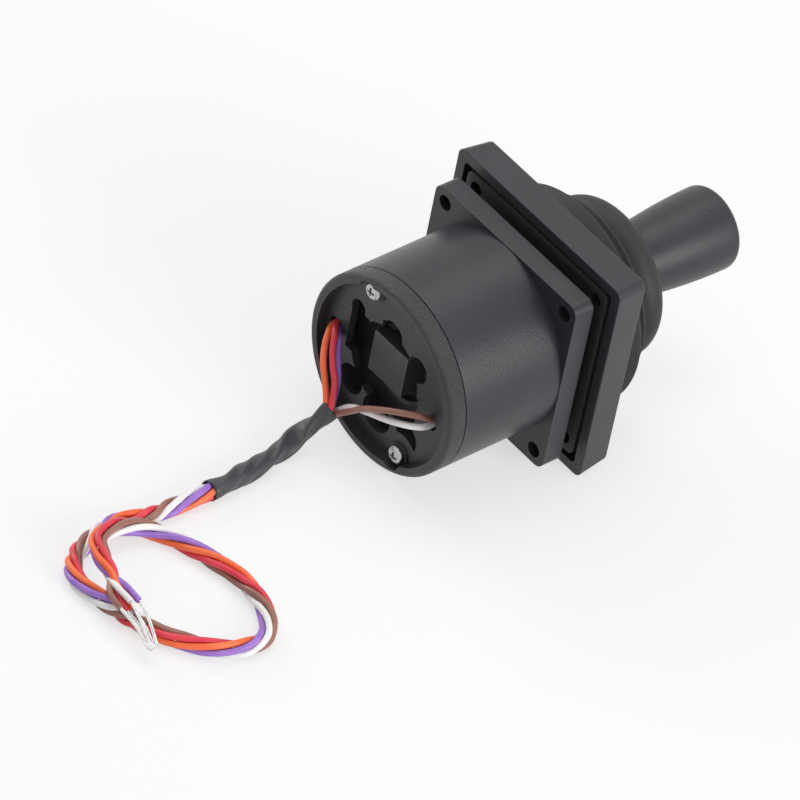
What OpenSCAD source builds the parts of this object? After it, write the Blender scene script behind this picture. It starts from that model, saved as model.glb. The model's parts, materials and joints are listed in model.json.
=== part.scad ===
// Two-axis panel joystick with a conical fingertip handle, a rubber boot and a square bezel.
// Each piece is modelled about the stick's own axis: z runs from the rear cover to the handle,
// and z = 0 is the front face of the mounting flange. lay_down() then puts the whole joystick
// on its side, resting on the bezel's rear edge and the rear cover's rim.

/* [Body] */
// Side of the square mounting flange
flange_w = 51.3; // [50.9:0.1:54]
// How far the flange stands out beyond the side of the round body
flange_step = 0.25; // [0.1:0.05:0.6]
// Length of the body from the flange's rear face to the rear cover
body_len = 28.6; // [27.5:0.1:34]
// Thickness of the mounting flange
flange_t = 5.5; // [5.1:0.1:8]
// Corner radius of the mounting flange
flange_corner_r = 2.7; // [1:0.1:4]
// Distance of each mounting hole's centre from the flange's edges
hole_inset = 3.85; // [3.6:0.05:4.1]
// Diameter of the mounting holes
mount_hole_d = 4; // [3:0.1:4.4]
// Outside diameter of the collar that passes through the panel
collar_d = 39; // [37.6:0.1:42]
// Thickness of the wall at the front of the body
front_wall_t = 2.5; // [1.5:0.1:2.8]
// Wall of the body around the rear chamber
chamber_wall = 4; // [3.4:0.1:4.6]

/* [Panel] */
// Thickness of the panel that fits between the flange and the bezel
panel_gap = 3.8; // [1.5:0.1:3.9]

/* [Rear cover] */
// Length of the rear cover
cover_len = 4.95; // [4.5:0.05:8]
// Thickness of the cover's recessed plate
cover_plate_t = 2.1; // [1.5:0.1:3]
// Wall of the rim around the cover's recess
cover_rim_wall = 2.55; // [1.6:0.05:2.8]
// Radius of the cover's rounded rear edge
cover_edge_r = 1.2; // [0.4:0.1:1.4]
// Thickness of the cover's locating lip
cover_lip_t = 1; // [0.8:0.1:1.4]
// Distance of the cover screws from the outside of the body
screw_inset = 4.4; // [4.2:0.1:5]
// Thread diameter of the cover screws
screw_d = 2.9; // [2.4:0.1:3.2]
// Length of the cover screws under the head
screw_len = 10; // [8:0.5:12]
// Head diameter of the cover screws
screw_head_d = 5.2; // [4.6:0.1:5.6]
// Head height of the cover screws
screw_head_h = 1.9; // [1.4:0.1:2.3]

/* [Gimbal] */
// Depth of the tilt axes behind the flange's front face
pivot_depth = 6; // [5.7:0.1:6.6]
// Largest tilt of the stick each way on each axis, in degrees
tilt_max = 20; // [12:1:20]
// Room between the gimbal ring and the bore around it
ring_room = 4; // [3.8:0.1:4.4]
// Inside diameter of the gimbal ring
ring_bore_d = 17; // [16:0.1:18]
// Thickness of the gimbal ring
ring_t = 5.6; // [5:0.1:6]
// Diameter of the pivot pins
pin_d = 3; // [2:0.1:3.2]
// Outside diameter of the pivot bushes
bush_d = 5; // [4.6:0.1:5.6]
// Length of the pivot bushes
bush_len = 5; // [3:0.1:6]
// Flange thickness of the pivot bushes
bush_flange_t = 0.8; // [0.5:0.1:0.8]
// Size of the square pivot hub
hub_w = 9.6; // [9:0.1:10]

/* [Stick] */
// Diameter of the stick's shaft
shaft_d = 6; // [5:0.1:6.4]
// Diameter of the collar under the centring spring
seat_collar_d = 14; // [13:0.1:15]
// Thickness of the collar under the centring spring
seat_collar_t = 1.4; // [1:0.1:1.8]
// Thickness of the clip that holds the collar
clip_t = 0.8; // [0.6:0.1:1]
// Diameter of the magnet in the end of the shaft
magnet_d = 4; // [3:0.1:4.2]
// Length of the magnet
magnet_len = 2; // [1.5:0.1:3]

/* [Centring spring] */
// Fitted length of the spring
spring_len = 7; // [6.6:0.1:7.6]
// Wire diameter of the spring
spring_wire_d = 0.9; // [0.6:0.1:1]
// Number of turns of the spring
spring_turns = 4; // [3:1:5]
// Thickness of the plate that the spring pushes on
spring_plate_t = 1.5; // [1.2:0.1:2]

/* [Sensor] */
// Thickness of the circuit board
board_t = 1.6; // [1:0.1:1.8]
// Thickness of the carrier behind the board
carrier_t = 1.6; // [1.2:0.1:2]
// Side of the square sensor block
block_w = 12; // [10:0.1:13]
// Height of the sensor block behind the carrier
block_h = 5.7; // [4:0.1:6.4]
// How far the sensor block widens at its foot
block_flare = 0.9; // [0.5:0.1:1.2]
// Height of the field sensors on the board
chip_h = 0.9; // [0.6:0.1:1.2]

/* [Handle] */
// Diameter of the handle at its widest
handle_d = 21.4; // [20.6:0.1:24]
// Diameter of the handle at its lower end
handle_base_d = 17.6; // [17:0.1:18.6]
// Height of the handle's top above the flange's front face
handle_top_z = 65.5; // [64:0.1:72]
// Height of the handle's lower end above the flange's front face
handle_base_z = 37; // [36.5:0.1:38]
// Radius of the handle's rounded upper edge
handle_edge_r = 1.6; // [0.8:0.1:2.4]
// Rise of the handle's domed top
handle_dome = 0.9; // [0.4:0.1:1.6]
// Diameter of the handle's neck inside the boot
handle_neck_d = 13; // [12:0.1:13.4]
// Length of the threaded insert in the handle
insert_len = 14; // [10:0.5:18]
// Diameter of the threaded insert in the handle
insert_d = 9; // [8:0.1:10]

/* [Boot] */
// Room between the boot's square flange and the bezel's rim
boot_room = 1.2; // [0.8:0.1:1.6]
// Thickness of the boot's flange
boot_flange_t = 2.4; // [1.6:0.1:3]
// Thickness of the boot's wall
boot_wall = 1.2; // [0.8:0.1:1.4]
// How far the boot's lower fold stands out beyond its base
fold_low_out = 1.8; // [1.4:0.1:2.2]
// How much smaller the radius of each next fold is
fold_step_r = 3.35; // [3:0.05:3.6]
// Height from the lower fold to the middle one
fold_pitch = 5; // [4.8:0.1:5.2]
// Depth of the grooves between the folds
fold_depth = 5; // [4:0.1:5.4]

/* [Bezel] */
// How far the bezel reaches beyond the mounting flange on each side
bezel_reach = 3.95; // [3.9:0.05:6]
// Depth of the bezel
bezel_h = 8.8; // [8:0.1:12]
// How much narrower each side of the bezel is at the front
bezel_draft = 0.8; // [0.2:0.1:1]
// Corner radius of the bezel
bezel_corner_r = 2.2; // [1:0.1:4]
// Wall of the bezel's rim
bezel_wall = 2.8; // [2:0.1:2.9]
// Width of the bezel's front face beside its round opening
bezel_land = 3.6; // [3.3:0.1:3.9]
// Thread diameter of the inserts in the bezel
bezel_thread_d = 3.3; // [2.5:0.1:3.5]
// Outside diameter of the inserts in the bezel
bezel_insert_d = 5; // [4.4:0.1:5.4]
// Length of the inserts in the bezel
bezel_insert_len = 4; // [3:0.1:4.4]

/* [Leads] */
// Outside diameter of each lead
lead_d = 1.6; // [1.2:0.1:2]
// Outside diameter of the sleeve over the leads
sleeve_d = 5.6; // [5:0.1:6.4]
// Outside diameter of the twisted bundle of leads
bundle_d = 4.2; // [3.6:0.1:4.6]
// Diameter of a tinned lead end
tip_d = 1; // [0.6:0.1:1.2]

/* [Hidden] */

$fn = 96;
// Overshoot of every cut
eps = 0.5;
// Radial clearance of a running fit
run_gap = 0.04;
// Clearance of a loose fit
loose_gap = 0.3;
// Clearance of a slip fit between parts of one body
slip_gap = 0.2;

// Body
body_d = flange_w - 2 * flange_step;
body_r = body_d / 2;
mount_pitch = flange_w - 2 * hole_inset;
seam_z = -flange_t - body_len;
chamber_r = body_r - chamber_wall;
shoulder_w = 2.2;
sleeve_bore_r = chamber_r - shoulder_w;
front_bore_r = sleeve_bore_r - shoulder_w;
pivot_z = -pivot_depth;
ring_r = front_bore_r - ring_room;
ring_d = 2 * ring_r;
opening_r = ring_r + 1.5;
mouth_r = opening_r - 0.4;
// The widest the stick leans when both axes are at their limits
lean_max = acos(cos(tilt_max) * cos(tilt_max));

// Stack of parts down the bore, each one seated on the one before
ring_sweep = ring_r * sin(tilt_max) + ring_t / 2 * cos(tilt_max);
plate_z = pivot_z - ring_sweep - loose_gap - slip_gap;
spring_z = plate_z - spring_plate_t;
collar_z = spring_z - spring_len;
clip_z = collar_z - seat_collar_t;
shaft_end_z = clip_z - clip_t - 0.9;
chip_z = shaft_end_z - loose_gap - slip_gap;
board_z = chip_z - chip_h;
carrier_z = board_z - board_t;
carrier_back_z = carrier_z - carrier_t;
block_place = [-1.6, -1];
carrier_wall_d = 20.8;
carrier_wall_t = 1.4;
carrier_wall_h = 2.2;

// Rear cover
cover_back_z = seam_z - cover_len;
plate_back_z = seam_z - cover_plate_t;
recess_r = body_r - cover_rim_wall;
screw_r = body_r - screw_inset;
screw_angles = [-115, 66];
screw_land_h = 0.5;
screw_seat_z = plate_back_z - screw_land_h;
screw_pilot_d = screw_d - 0.3;
screw_hole_d = screw_d + 0.5;
land_r = screw_head_d / 2 + 0.5;
boss_r = screw_d / 2 + 1.9;
lip_r = chamber_r - slip_gap;
// Each round lobe of the window: the place of its centre and its radius
window_lobes = [[-1.6, 0.4, 11.8], [-13.4, -9.4, 2.4], [-11.4, 11.6, 4], [-1.2, 14.4, 4.9],
                [9.6, 13.2, 3.6], [8.6, -7.6, 3.4], [-1.4, -10.6, 3.7], [-4.6, -13.6, 1.5]];
// Radius of the plate that stays around each screw
screw_land_r = [7.6, 5.8];
left_hole = [-19.6, 0.9];
right_hole = [16.2, 3];
left_hole_d = 2 * lead_d + 1;
right_hole_d = 2 * lead_d + 0.6;

// Gimbal and stick
shaft_r = shaft_d / 2;
groove_r = shaft_r - 0.4;
shaft_top_z = handle_top_z - 14;
bush_boss_r = bush_d / 2 + 1.2;
pin_end_x = opening_r + bush_len - 0.3;
spring_r1 = opening_r - 4.9;
spring_r2 = seat_collar_d / 2 - 1;
plate_hole_r = spring_r1 - spring_wire_d / 2 - 0.4;

// Boot and bezel
bezel_w = flange_w + 2 * bezel_reach;
bezel_bore_d = bezel_w - 2 * bezel_land;
bezel_inner_w = bezel_w - 2 * bezel_wall;
boot_w = bezel_inner_w - 2 * boot_room;
boot_recess = 0.15;
boot_z = panel_gap + boot_recess;
boot_seat_z = boot_z + boot_flange_t;
boot_hole_r = collar_d / 2 - 2;
boot_hole_d = mount_hole_d + 1.2;
bezel_front_z = panel_gap + bezel_h;
boot_base_r = bezel_bore_d / 2 - 0.6;
boot_neck_z = handle_base_z - loose_gap;
fold_low_r = boot_base_r + fold_low_out;
fold_mid_r = fold_low_r - fold_step_r;
fold_top_r = fold_mid_r - fold_step_r;
fold_low_z = bezel_front_z + 4.2;
groove_low_z = fold_low_z + 2.4;
fold_mid_z = fold_low_z + fold_pitch;
groove_mid_z = fold_mid_z + 2;
fold_top_z = fold_mid_z + 5.8;
fold_tip_r = 0.8;
fold_bulge_r = 4.8;
neck_bend_r = 1.8;
neck_grip = 5.2;

// Resting pose: the joystick leans on the bezel's rear edge and the cover's rounded rim
rest_y = body_r - cover_edge_r;
rest_z = cover_back_z + cover_edge_r;
rest_dy = bezel_w / 2 - rest_y;
rest_dz = panel_gap - rest_z;
lay_tilt = atan2(rest_dy, rest_dz) - asin(cover_edge_r / norm([rest_dy, rest_dz]));
lay_turn = lay_tilt - 90;
lay_low = bezel_w / 2 * sin(lay_turn) + panel_gap * cos(lay_turn);
dome_r = (pow(handle_d / 2 - handle_edge_r, 2) + pow(handle_dome, 2)) / (2 * handle_dome);
lay_front = -(handle_top_z - dome_r) * sin(lay_turn) + dome_r;
lay_back = -rest_y * cos(lay_turn) - rest_z * sin(lay_turn) - cover_edge_r;
lay_shift = -(lay_front + lay_back) / 2;

// Routes of the leads over the table, in the resting frame. The first three leave the left
// hole of the rear cover and the next two the right hole, and all five enter the sleeve.
orange_route = [[-20.4, -41.7, 24.8], [-20.4, -48, 24.2], [-18.8, -51, 24], [-16.9, -53.2, 21.6],
                [-14.2, -54.6, 18.4], [-11.6, -54.9, 14.8], [-9.8, -54.8, 11.4]];
red_route = [[-19.4, -41.7, 26.1], [-19.4, -48, 25.5], [-16.8, -51, 25], [-14.6, -53.2, 22.4],
             [-12, -54.6, 19.2], [-9.6, -54.9, 15.4], [-8, -55, 11.2]];
violet_route = [[-18.8, -41.7, 24.5], [-18.8, -48, 23.9], [-16.4, -50.2, 22.8],
                [-14.2, -51.6, 20.8], [-11.6, -52.6, 18], [-9.8, -53, 14.6], [-8.8, -53.2, 10.6]];
brown_route = [[16.2, -41.7, 23.9], [16.2, -48, 23.3], [16, -50.8, 24], [13.4, -52.8, 23.2],
               [8, -53.8, 20.4], [1.2, -53.6, 16], [-3.4, -53, 12.6], [-7, -53, 10.2]];
white_route = [[16.2, -41.7, 22.3], [16.2, -48, 21.65], [15.6, -50.4, 21.8], [12.6, -52.4, 20.8],
               [7.4, -54.2, 18.2], [1.2, -55.4, 15.4], [-3.6, -55, 12.4], [-6.8, -54.6, 10]];
sleeve_route = [[-7.8, -53.8, 10.9], [-8.6, -55.8, 7.8], [-8.6, -58.8, 4.8], [-7.8, -63.6, 3.2],
                [-6.4, -70.2, 2.9], [-5.4, -77, 2.9], [-4.8, -84, 2.9], [-4.4, -94, 2.9]];
bundle_route = [[-4.4, -94, 2.9], [-3.6, -102, 2.2], [-3.6, -111, 2.2], [-5, -118, 2.2],
                [-5.6, -124, 2.2], [-4.2, -131, 2.2], [-0.6, -137, 2.2], [5.4, -141.2, 2.2],
                [12.6, -141.4, 2.2], [20.6, -138.6, 2.2], [28.6, -135.2, 2.2],
                [36, -130, 2.2], [41, -122, 2.2], [41.4, -112.4, 2.2], [37.2, -105.4, 2.2],
                [30, -103.2, 2.2], [21.6, -105, 2.2], [12.4, -109, 2.2], [4.8, -114.4, 2.2],
                [0.4, -121, 2.2], [1, -128, 2.4], [6.4, -132.2, 3], [13.6, -133.6, 4],
                [18.6, -134.6, 5]];
tip_steps = [[0, 0, 0], [6.4, -2.4, 1], [12, -4.6, -0.6]];

// The angles of n things spread evenly around a ring
function turns(n) = [for (i = [0 : n - 1]) 360 * i / n];

// Points of an arc in a profile's plane, from angle a0 to a1 in n steps
function arc(c, r, a0, a1, n) =
    [for (i = [0 : n]) let (a = a0 + (a1 - a0) * i / n) c + r * [cos(a), sin(a)]];

function unit(v) = v / norm(v);

// Unit normal of a profile at point i, to the left of its direction
function normal_at(path, i) =
    let (last = len(path) - 1)
    let (d = unit(path[min(i + 1, last)] - path[max(i - 1, 0)]))
    [-d[1], d[0]];

// A profile moved sideways by t
function beside(path, t) = [for (i = [0 : len(path) - 1]) path[i] + t * normal_at(path, i)];

function reversed(list) = [for (i = [len(list) - 1 : -1 : 0]) list[i]];

function tangent_at(route, i) =
    unit(route[min(i + 1, len(route) - 1)] - route[max(i - 1, 0)]);

// Points of one ring of a tube around point i of its route
function ring_points(route, i, r, sides) =
    let (t = tangent_at(route, i))
    let (u = unit(cross(t, [0.2, 0.1, 1])))
    let (w = cross(t, u))
    [for (a = turns(sides)) route[i] + r * (cos(a) * u + sin(a) * w)];

// A plain round tube swept along a route
module tube(route, d, sides = 8) {
    rings = len(route);
    points = [for (i = [0 : rings - 1]) each ring_points(route, i, d / 2, sides)];
    walls = [for (i = [0 : rings - 2], k = [0 : sides - 1])
        let (a = i * sides + k, b = i * sides + (k + 1) % sides)
        each [[a, a + sides, b + sides], [a, b + sides, b]]];
    first_cap = [for (k = [0 : sides - 1]) k];
    last_cap = [for (k = [sides - 1 : -1 : 0]) (rings - 1) * sides + k];
    polyhedron(points, concat(walls, [first_cap, last_cap]), convexity = 6);
}

// Lays a piece that stands on the stick's axis down on the table
module lay_down() {
    translate([0, lay_shift, -lay_low]) rotate([lay_turn, 0, 0]) children();
}

// A round bar from z0 up to z1
module bar(d, z0, z1) {
    translate([0, 0, z0]) cylinder(d = d, h = z1 - z0);
}

// A flat washer-shaped ring from z0 up to z1
module ring(d_out, d_in, z0, z1) {
    difference() {
        bar(d_out, z0, z1);
        bar(d_in, z0 - eps, z1 + eps);
    }
}

// A square with rounded corners, from z0 up to z1
module rounded_square(w, r, z0, z1) {
    translate([0, 0, z0]) linear_extrude(z1 - z0) {
        square([w - 2 * r, w], center = true);
        square([w, w - 2 * r], center = true);
        for (x = [-1, 1], y = [-1, 1]) translate([x, y] * (w / 2 - r)) circle(r);
    }
}

// Places a copy at each mounting hole
module at_corners() {
    for (x = [-1, 1], y = [-1, 1]) translate([x, y, 0] * mount_pitch / 2) children();
}

// Places a copy at each cover screw
module at_cover_screws() {
    for (a = screw_angles) rotate(a) translate([screw_r, 0, 0]) children();
}

// Points a bar along the side axis of the gimbal, on the side of x
module at_side(x) {
    translate([x, 0, pivot_z]) rotate([0, x > 0 ? 90 : -90, 0]) children();
}

// The round body with its flange, its panel collar and the seats of the inner parts
module housing() {
    color("#26272b") lay_down() difference() {
        union() {
            bar(body_d, seam_z, eps - flange_t);
            rounded_square(flange_w, flange_corner_r, -flange_t, 0);
            bar(collar_d, -eps, boot_z);
        }
        housing_bore();
        bar(2 * mouth_r, -front_wall_t - eps, boot_z + eps);
        at_corners() bar(mount_hole_d, -flange_t - eps, eps);
        at_cover_screws() bar(screw_pilot_d, seam_z - eps, seam_z + screw_len);
        for (x = [-1, 1]) at_side(x * (opening_r - 1)) cylinder(d = bush_d, h = bush_len + 1);
    }
}

// The stepped bore of the body, less the bosses that stand in it
module housing_bore() {
    difference() {
        bar(2 * chamber_r, seam_z - eps, board_z);
        at_cover_screws() bar(2 * boss_r, seam_z - 2 * eps, board_z + eps);
    }
    bar(2 * sleeve_bore_r, board_z - slip_gap, plate_z);
    difference() {
        bar(2 * front_bore_r, plate_z - eps, -front_wall_t);
        bush_bosses();
    }
}

// A boss for each pivot bush, with a rib that joins it to the front wall
module bush_bosses() {
    rib_w = 2 * bush_boss_r - 1;
    for (x = [-1, 1]) at_side(x * opening_r) {
        cylinder(r = bush_boss_r, h = body_r - opening_r);
        translate([x > 0 ? -pivot_depth : 0, -rib_w / 2, 0])
            cube([pivot_depth, rib_w, body_r - opening_r]);
    }
}

// Notches that clear the screw bosses, in the parts of the rear chamber
module boss_notches() {
    at_cover_screws() bar(2 * (boss_r + slip_gap), seam_z - eps, board_z + eps);
}

// The textured rear cover: a rim, a recessed plate with its window, and a locating lip
module rear_cover() {
    color("#2e2f33") lay_down() difference() {
        union() {
            cover_shell();
            at_cover_screws() bar(2 * land_r, screw_seat_z, plate_back_z + eps);
            difference() {
                ring(2 * lip_r, 2 * (lip_r - cover_lip_t), seam_z - eps, carrier_back_z);
                boss_notches();
            }
        }
        cover_window();
        translate([left_hole[0], left_hole[1], 0])
            bar(left_hole_d, cover_back_z, carrier_back_z + eps);
        translate([right_hole[0], right_hole[1], 0]) bar(right_hole_d, cover_back_z, seam_z + eps);
        at_cover_screws() bar(screw_hole_d, cover_back_z - eps, seam_z + eps);
        at_cover_screws() bar(2 * land_r, cover_back_z - eps, screw_seat_z);
    }
}

// The revolved shell of the rear cover, with its rounded rear edge
module cover_shell() {
    edge = arc([body_r - cover_edge_r, cover_back_z + cover_edge_r], cover_edge_r, 0, -90, 8);
    rotate_extrude() polygon(concat(
        [[0, seam_z], [body_r, seam_z]], edge,
        [[recess_r, cover_back_z], [recess_r, plate_back_z], [0, plate_back_z]]));
}

// The window in the plate: round lobes that leave a land around each screw
module cover_window() {
    translate([0, 0, plate_back_z - eps]) linear_extrude(cover_plate_t + 2 * eps) difference() {
        union() {
            for (lobe = window_lobes) translate([lobe[0], lobe[1]]) circle(lobe[2]);
            translate([-15.4, -9]) square([6, 13]);
            square([11, 11]);
        }
        for (i = [0, 1]) rotate(screw_angles[i]) translate([screw_r, 0]) circle(screw_land_r[i]);
    }
}

// The two cross-headed screws of the rear cover
module cover_screws() {
    color("#d8d8d6") lay_down() at_cover_screws() difference() {
        union() {
            translate([0, 0, screw_seat_z]) mirror([0, 0, 1]) screw_head();
            bar(screw_pilot_d, screw_seat_z, seam_z + screw_len - 1);
        }
        translate([0, 0, screw_seat_z - screw_head_h]) {
            cube([0.6, screw_head_d * 0.55, 1.8], center = true);
            cube([screw_head_d * 0.55, 0.6, 1.8], center = true);
        }
    }
}

// A pan head with a domed top
module screw_head() {
    r = screw_head_d / 2;
    rotate_extrude() polygon(concat(
        [[0, 0], [r, 0]], arc([r - 0.9, screw_head_h - 0.9], 0.9, 0, 70, 5), [[0, screw_head_h]]));
}

// The flanged bushes in which the gimbal's side pins turn
module pivot_bushes() {
    color("#b8923c") lay_down() for (x = [-1, 1]) at_side(x * (opening_r - bush_flange_t))
        difference() {
            union() {
                cylinder(d = bush_d + 1.8, h = bush_flange_t);
                cylinder(d = bush_d, h = bush_flange_t + bush_len);
            }
            translate([0, 0, -eps])
                cylinder(d = pin_d + 2 * run_gap, h = bush_flange_t + bush_len + 2 * eps);
        }
}

// The fixed plate that the top of the centring spring pushes on
module spring_plate() {
    color("#8d9094") lay_down() difference() {
        union() {
            bar(2 * (sleeve_bore_r - slip_gap), spring_z, plate_z);
            bar(2 * spring_r1 - spring_wire_d - 0.2, spring_z - 0.6, spring_z + eps);
        }
        bar(2 * plate_hole_r, spring_z - 1, plate_z + eps);
    }
}

// The sleeve that clamps the plate against its seat
module spacer_sleeve() {
    color("#3c4046") lay_down()
        ring(2 * (sleeve_bore_r - slip_gap), 2 * (sleeve_bore_r - slip_gap - 1.4), board_z, spring_z);
}

// The conical centring spring, one helix from the plate down to the collar
module centring_spring() {
    steps = 20 * spring_turns;
    top = spring_z - spring_wire_d / 2 - 0.05;
    low = collar_z + spring_wire_d / 2 + 0.05;
    route = [for (i = [0 : steps]) let (f = i / steps, a = 360 * spring_turns * f)
        let (r = spring_r1 + (spring_r2 - spring_r1) * f)
        [r * cos(a), r * sin(a), top + (low - top) * f]];
    color("#9aa0a6") lay_down() tube(route, spring_wire_d, 6);
}

// The round circuit board that carries the field sensors
module sensor_board() {
    color("#1f4a2c") lay_down() difference() {
        bar(2 * (chamber_r - slip_gap), carrier_z, board_z);
        boss_notches();
    }
}

// The two field sensors under the magnet
module field_sensors() {
    color("#141416") lay_down() for (x = [-1, 1])
        translate([x * 2.6 - 2, -1.5, board_z]) cube([4, 3, chip_h]);
}

// The moulded carrier behind the board, with a low round wall around the sensor block
module sensor_carrier() {
    color("#1d1e21") lay_down() difference() {
        union() {
            bar(2 * (chamber_r - slip_gap), carrier_back_z, carrier_z);
            ring(carrier_wall_d, carrier_wall_d - 2 * carrier_wall_t,
                 carrier_back_z - carrier_wall_h, carrier_back_z + eps);
        }
        boss_notches();
        translate([block_place[0], block_place[1], carrier_back_z - carrier_wall_h / 2 - eps])
            cube([block_w + 2 * block_flare + 2 * slip_gap, block_w + 2 * slip_gap,
                  carrier_wall_h + 2 * eps], center = true);
    }
}

// The square sensor block that shows in the cover's window
module sensor_block() {
    w = block_w / 2;
    bend = block_h * 0.6;
    color("#34363a") lay_down()
        translate([block_place[0], block_place[1], carrier_back_z]) rotate([90, 0, 0])
            translate([0, 0, -w]) linear_extrude(block_w)
                polygon([[-w - block_flare, 0], [-w, -bend], [-w, -block_h],
                         [w, -block_h], [w, -bend], [w + block_flare, 0]]);
}

// The gimbal ring, which tilts on the side pins and carries the cross pin
module gimbal_ring() {
    color("#a9adb2") lay_down() difference() {
        ring(ring_d, ring_bore_d, pivot_z - ring_t / 2, pivot_z + ring_t / 2);
        for (x = [-1, 1]) at_side(x * (ring_bore_d / 2 - 1)) cylinder(d = pin_d, h = ring_d / 2);
        translate([0, 0, pivot_z]) rotate([90, 0, 0])
            cylinder(d = pin_d + 2 * run_gap, h = ring_d + 2, center = true);
    }
}

// The side pins, pressed into the ring and turning in the bushes
module gimbal_pins() {
    color("#c9ccd0") lay_down() for (x = [-1, 1]) at_side(x * (ring_bore_d / 2 + 0.4))
        cylinder(d = pin_d, h = pin_end_x - ring_bore_d / 2 - 0.4);
}

// The hub that is fixed on the shaft and turns on the cross pin
module pivot_hub() {
    color("#8b8f94") lay_down() difference() {
        translate([0, 0, pivot_z]) cube(hub_w, center = true);
        bar(shaft_d, pivot_z - hub_w, pivot_z + hub_w);
        translate([0, 0, pivot_z]) rotate([90, 0, 0])
            cylinder(d = pin_d, h = hub_w + 2, center = true);
    }
}

// The cross pin, pressed through the hub and the shaft
module cross_pin() {
    color("#c9ccd0") lay_down() translate([0, 0, pivot_z]) rotate([90, 0, 0])
        cylinder(d = pin_d, h = ring_d - 1.2, center = true);
}

// The steel shaft of the stick
module stick_shaft() {
    color("#b4b7bb") lay_down() difference() {
        bar(shaft_d, shaft_end_z, shaft_top_z);
        ring(shaft_d + 2, 2 * groove_r, clip_z - clip_t, clip_z);
        bar(magnet_d, shaft_end_z - eps, shaft_end_z + magnet_len);
        translate([0, 0, pivot_z]) rotate([90, 0, 0])
            cylinder(d = pin_d, h = shaft_d + 2, center = true);
    }
}

// The collar that the centring spring pushes down on
module spring_collar() {
    color("#7d8186") lay_down() difference() {
        union() {
            bar(seat_collar_d, clip_z, collar_z);
            bar(2 * spring_r2 - spring_wire_d - 0.4, clip_z, collar_z + 0.9);
        }
        bar(shaft_d, clip_z - eps, collar_z + 2);
    }
}

// The open retaining clip in the shaft's groove
module collar_clip() {
    color("#55585c") lay_down() difference() {
        ring(shaft_d + 3.4, 2 * groove_r, clip_z - clip_t, clip_z);
        translate([0, -groove_r * 0.8, clip_z - clip_t - eps])
            cube([shaft_d, groove_r * 1.6, clip_t + 2 * eps]);
    }
}

// The magnet in the end of the shaft
module sense_magnet() {
    color("#6d7076") lay_down() bar(magnet_d, shaft_end_z, shaft_end_z + magnet_len);
}

// The brass insert moulded into the handle
module handle_insert() {
    color("#b8923c") lay_down() ring(insert_d, shaft_d, shaft_top_z - insert_len, shaft_top_z);
}

// The conical handle with its domed top and its narrow neck
module handle_knob() {
    r = handle_d / 2;
    base_r = handle_base_d / 2;
    rise = handle_top_z - handle_dome - handle_edge_r - handle_base_z;
    flare = [for (i = [0 : 12]) let (f = i / 12)
        [base_r + (r - base_r) * sin(90 * f), handle_base_z + 0.6 + (rise - 0.6) * f]];
    edge = arc([r - handle_edge_r, handle_base_z + rise], handle_edge_r, 10, 80, 6);
    half_dome = asin((r - handle_edge_r) / dome_r);
    dome = arc([0, handle_top_z - dome_r], dome_r, 90 - half_dome * 0.9, 90, 6);
    color("#2b2c31") lay_down() difference() {
        rotate_extrude() polygon(concat(
            [[0, handle_base_z - neck_grip], [handle_neck_d / 2, handle_base_z - neck_grip],
             [handle_neck_d / 2, handle_base_z], [base_r - 0.6, handle_base_z]],
            flare, edge, dome));
        bar(shaft_d, handle_base_z - neck_grip - eps, shaft_top_z);
        bar(insert_d, shaft_top_z - insert_len, shaft_top_z);
    }
}

// One fold of the boot: an arc that stands out to radius r at height z
function fold(r, z) = arc([r - fold_tip_r - boot_wall / 2, z], fold_tip_r, -60, 60, 4);

// One groove between folds, around radius r at height z
function groove(r, z) = arc([r, z], fold_tip_r, 240, 150, 4);

// The folded rubber boot, from its square flange to the handle's neck
module boot() {
    wall_r = boot_base_r - boot_wall / 2;
    bulge_r = fold_top_r - fold_bulge_r - boot_wall / 2;
    neck_r = handle_neck_d / 2 + loose_gap;
    neck_mid_r = neck_r + boot_wall / 2;
    mid = concat(
        [[wall_r, boot_seat_z - 1], [wall_r, bezel_front_z]],
        fold(fold_low_r, fold_low_z),
        groove(fold_low_r - fold_depth, groove_low_z),
        fold(fold_mid_r, fold_mid_z),
        groove(fold_mid_r - fold_depth - boot_wall / 2, groove_mid_z),
        arc([bulge_r, fold_top_z], fold_bulge_r, -40, 100, 10),
        arc([neck_mid_r + neck_bend_r + 0.4, boot_neck_z - 2.6], neck_bend_r, 240, 180, 4),
        [[neck_mid_r, boot_neck_z - 1.4], [neck_mid_r, boot_neck_z]]);
    color("#1f2023") lay_down() difference() {
        union() {
            rounded_square(boot_w, 2, boot_z, boot_seat_z);
            rotate_extrude() polygon(concat(
                beside(mid, -boot_wall / 2), reversed(beside(mid, boot_wall / 2))));
        }
        bar(2 * boot_hole_r, boot_z - eps, boot_seat_z - 0.8);
        bar(2 * (boot_base_r - boot_wall), boot_seat_z - 0.9, boot_seat_z + eps);
        at_corners() bar(boot_hole_d, boot_z - eps, boot_seat_z + eps);
    }
}

// The square bezel, hollow behind, with a round opening for the boot
module bezel() {
    color("#2a2b2f") lay_down() difference() {
        hull() {
            rounded_square(bezel_w, bezel_corner_r, panel_gap, panel_gap + 0.4);
            rounded_square(bezel_w - 2 * bezel_draft, bezel_corner_r,
                           bezel_front_z - 0.4, bezel_front_z);
        }
        rounded_square(bezel_inner_w, 1.4, panel_gap - eps, boot_seat_z);
        bar(bezel_bore_d, panel_gap, bezel_front_z + eps);
        at_corners() bar(bezel_insert_d, boot_seat_z - eps, boot_seat_z + bezel_insert_len);
    }
}

// The threaded inserts that take the panel screws
module bezel_inserts() {
    color("#b8923c") lay_down() at_corners()
        ring(bezel_insert_d, bezel_thread_d, boot_seat_z, boot_seat_z + bezel_insert_len);
}

// The short free stretch of each lead, from the rear cover to the sleeve
module lead_orange() {
    color("#f0642d") tube(orange_route, lead_d);
}

module lead_red() {
    color("#d8293f") tube(red_route, lead_d);
}

module lead_violet() {
    color("#8f66b4") tube(violet_route, lead_d);
}

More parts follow.
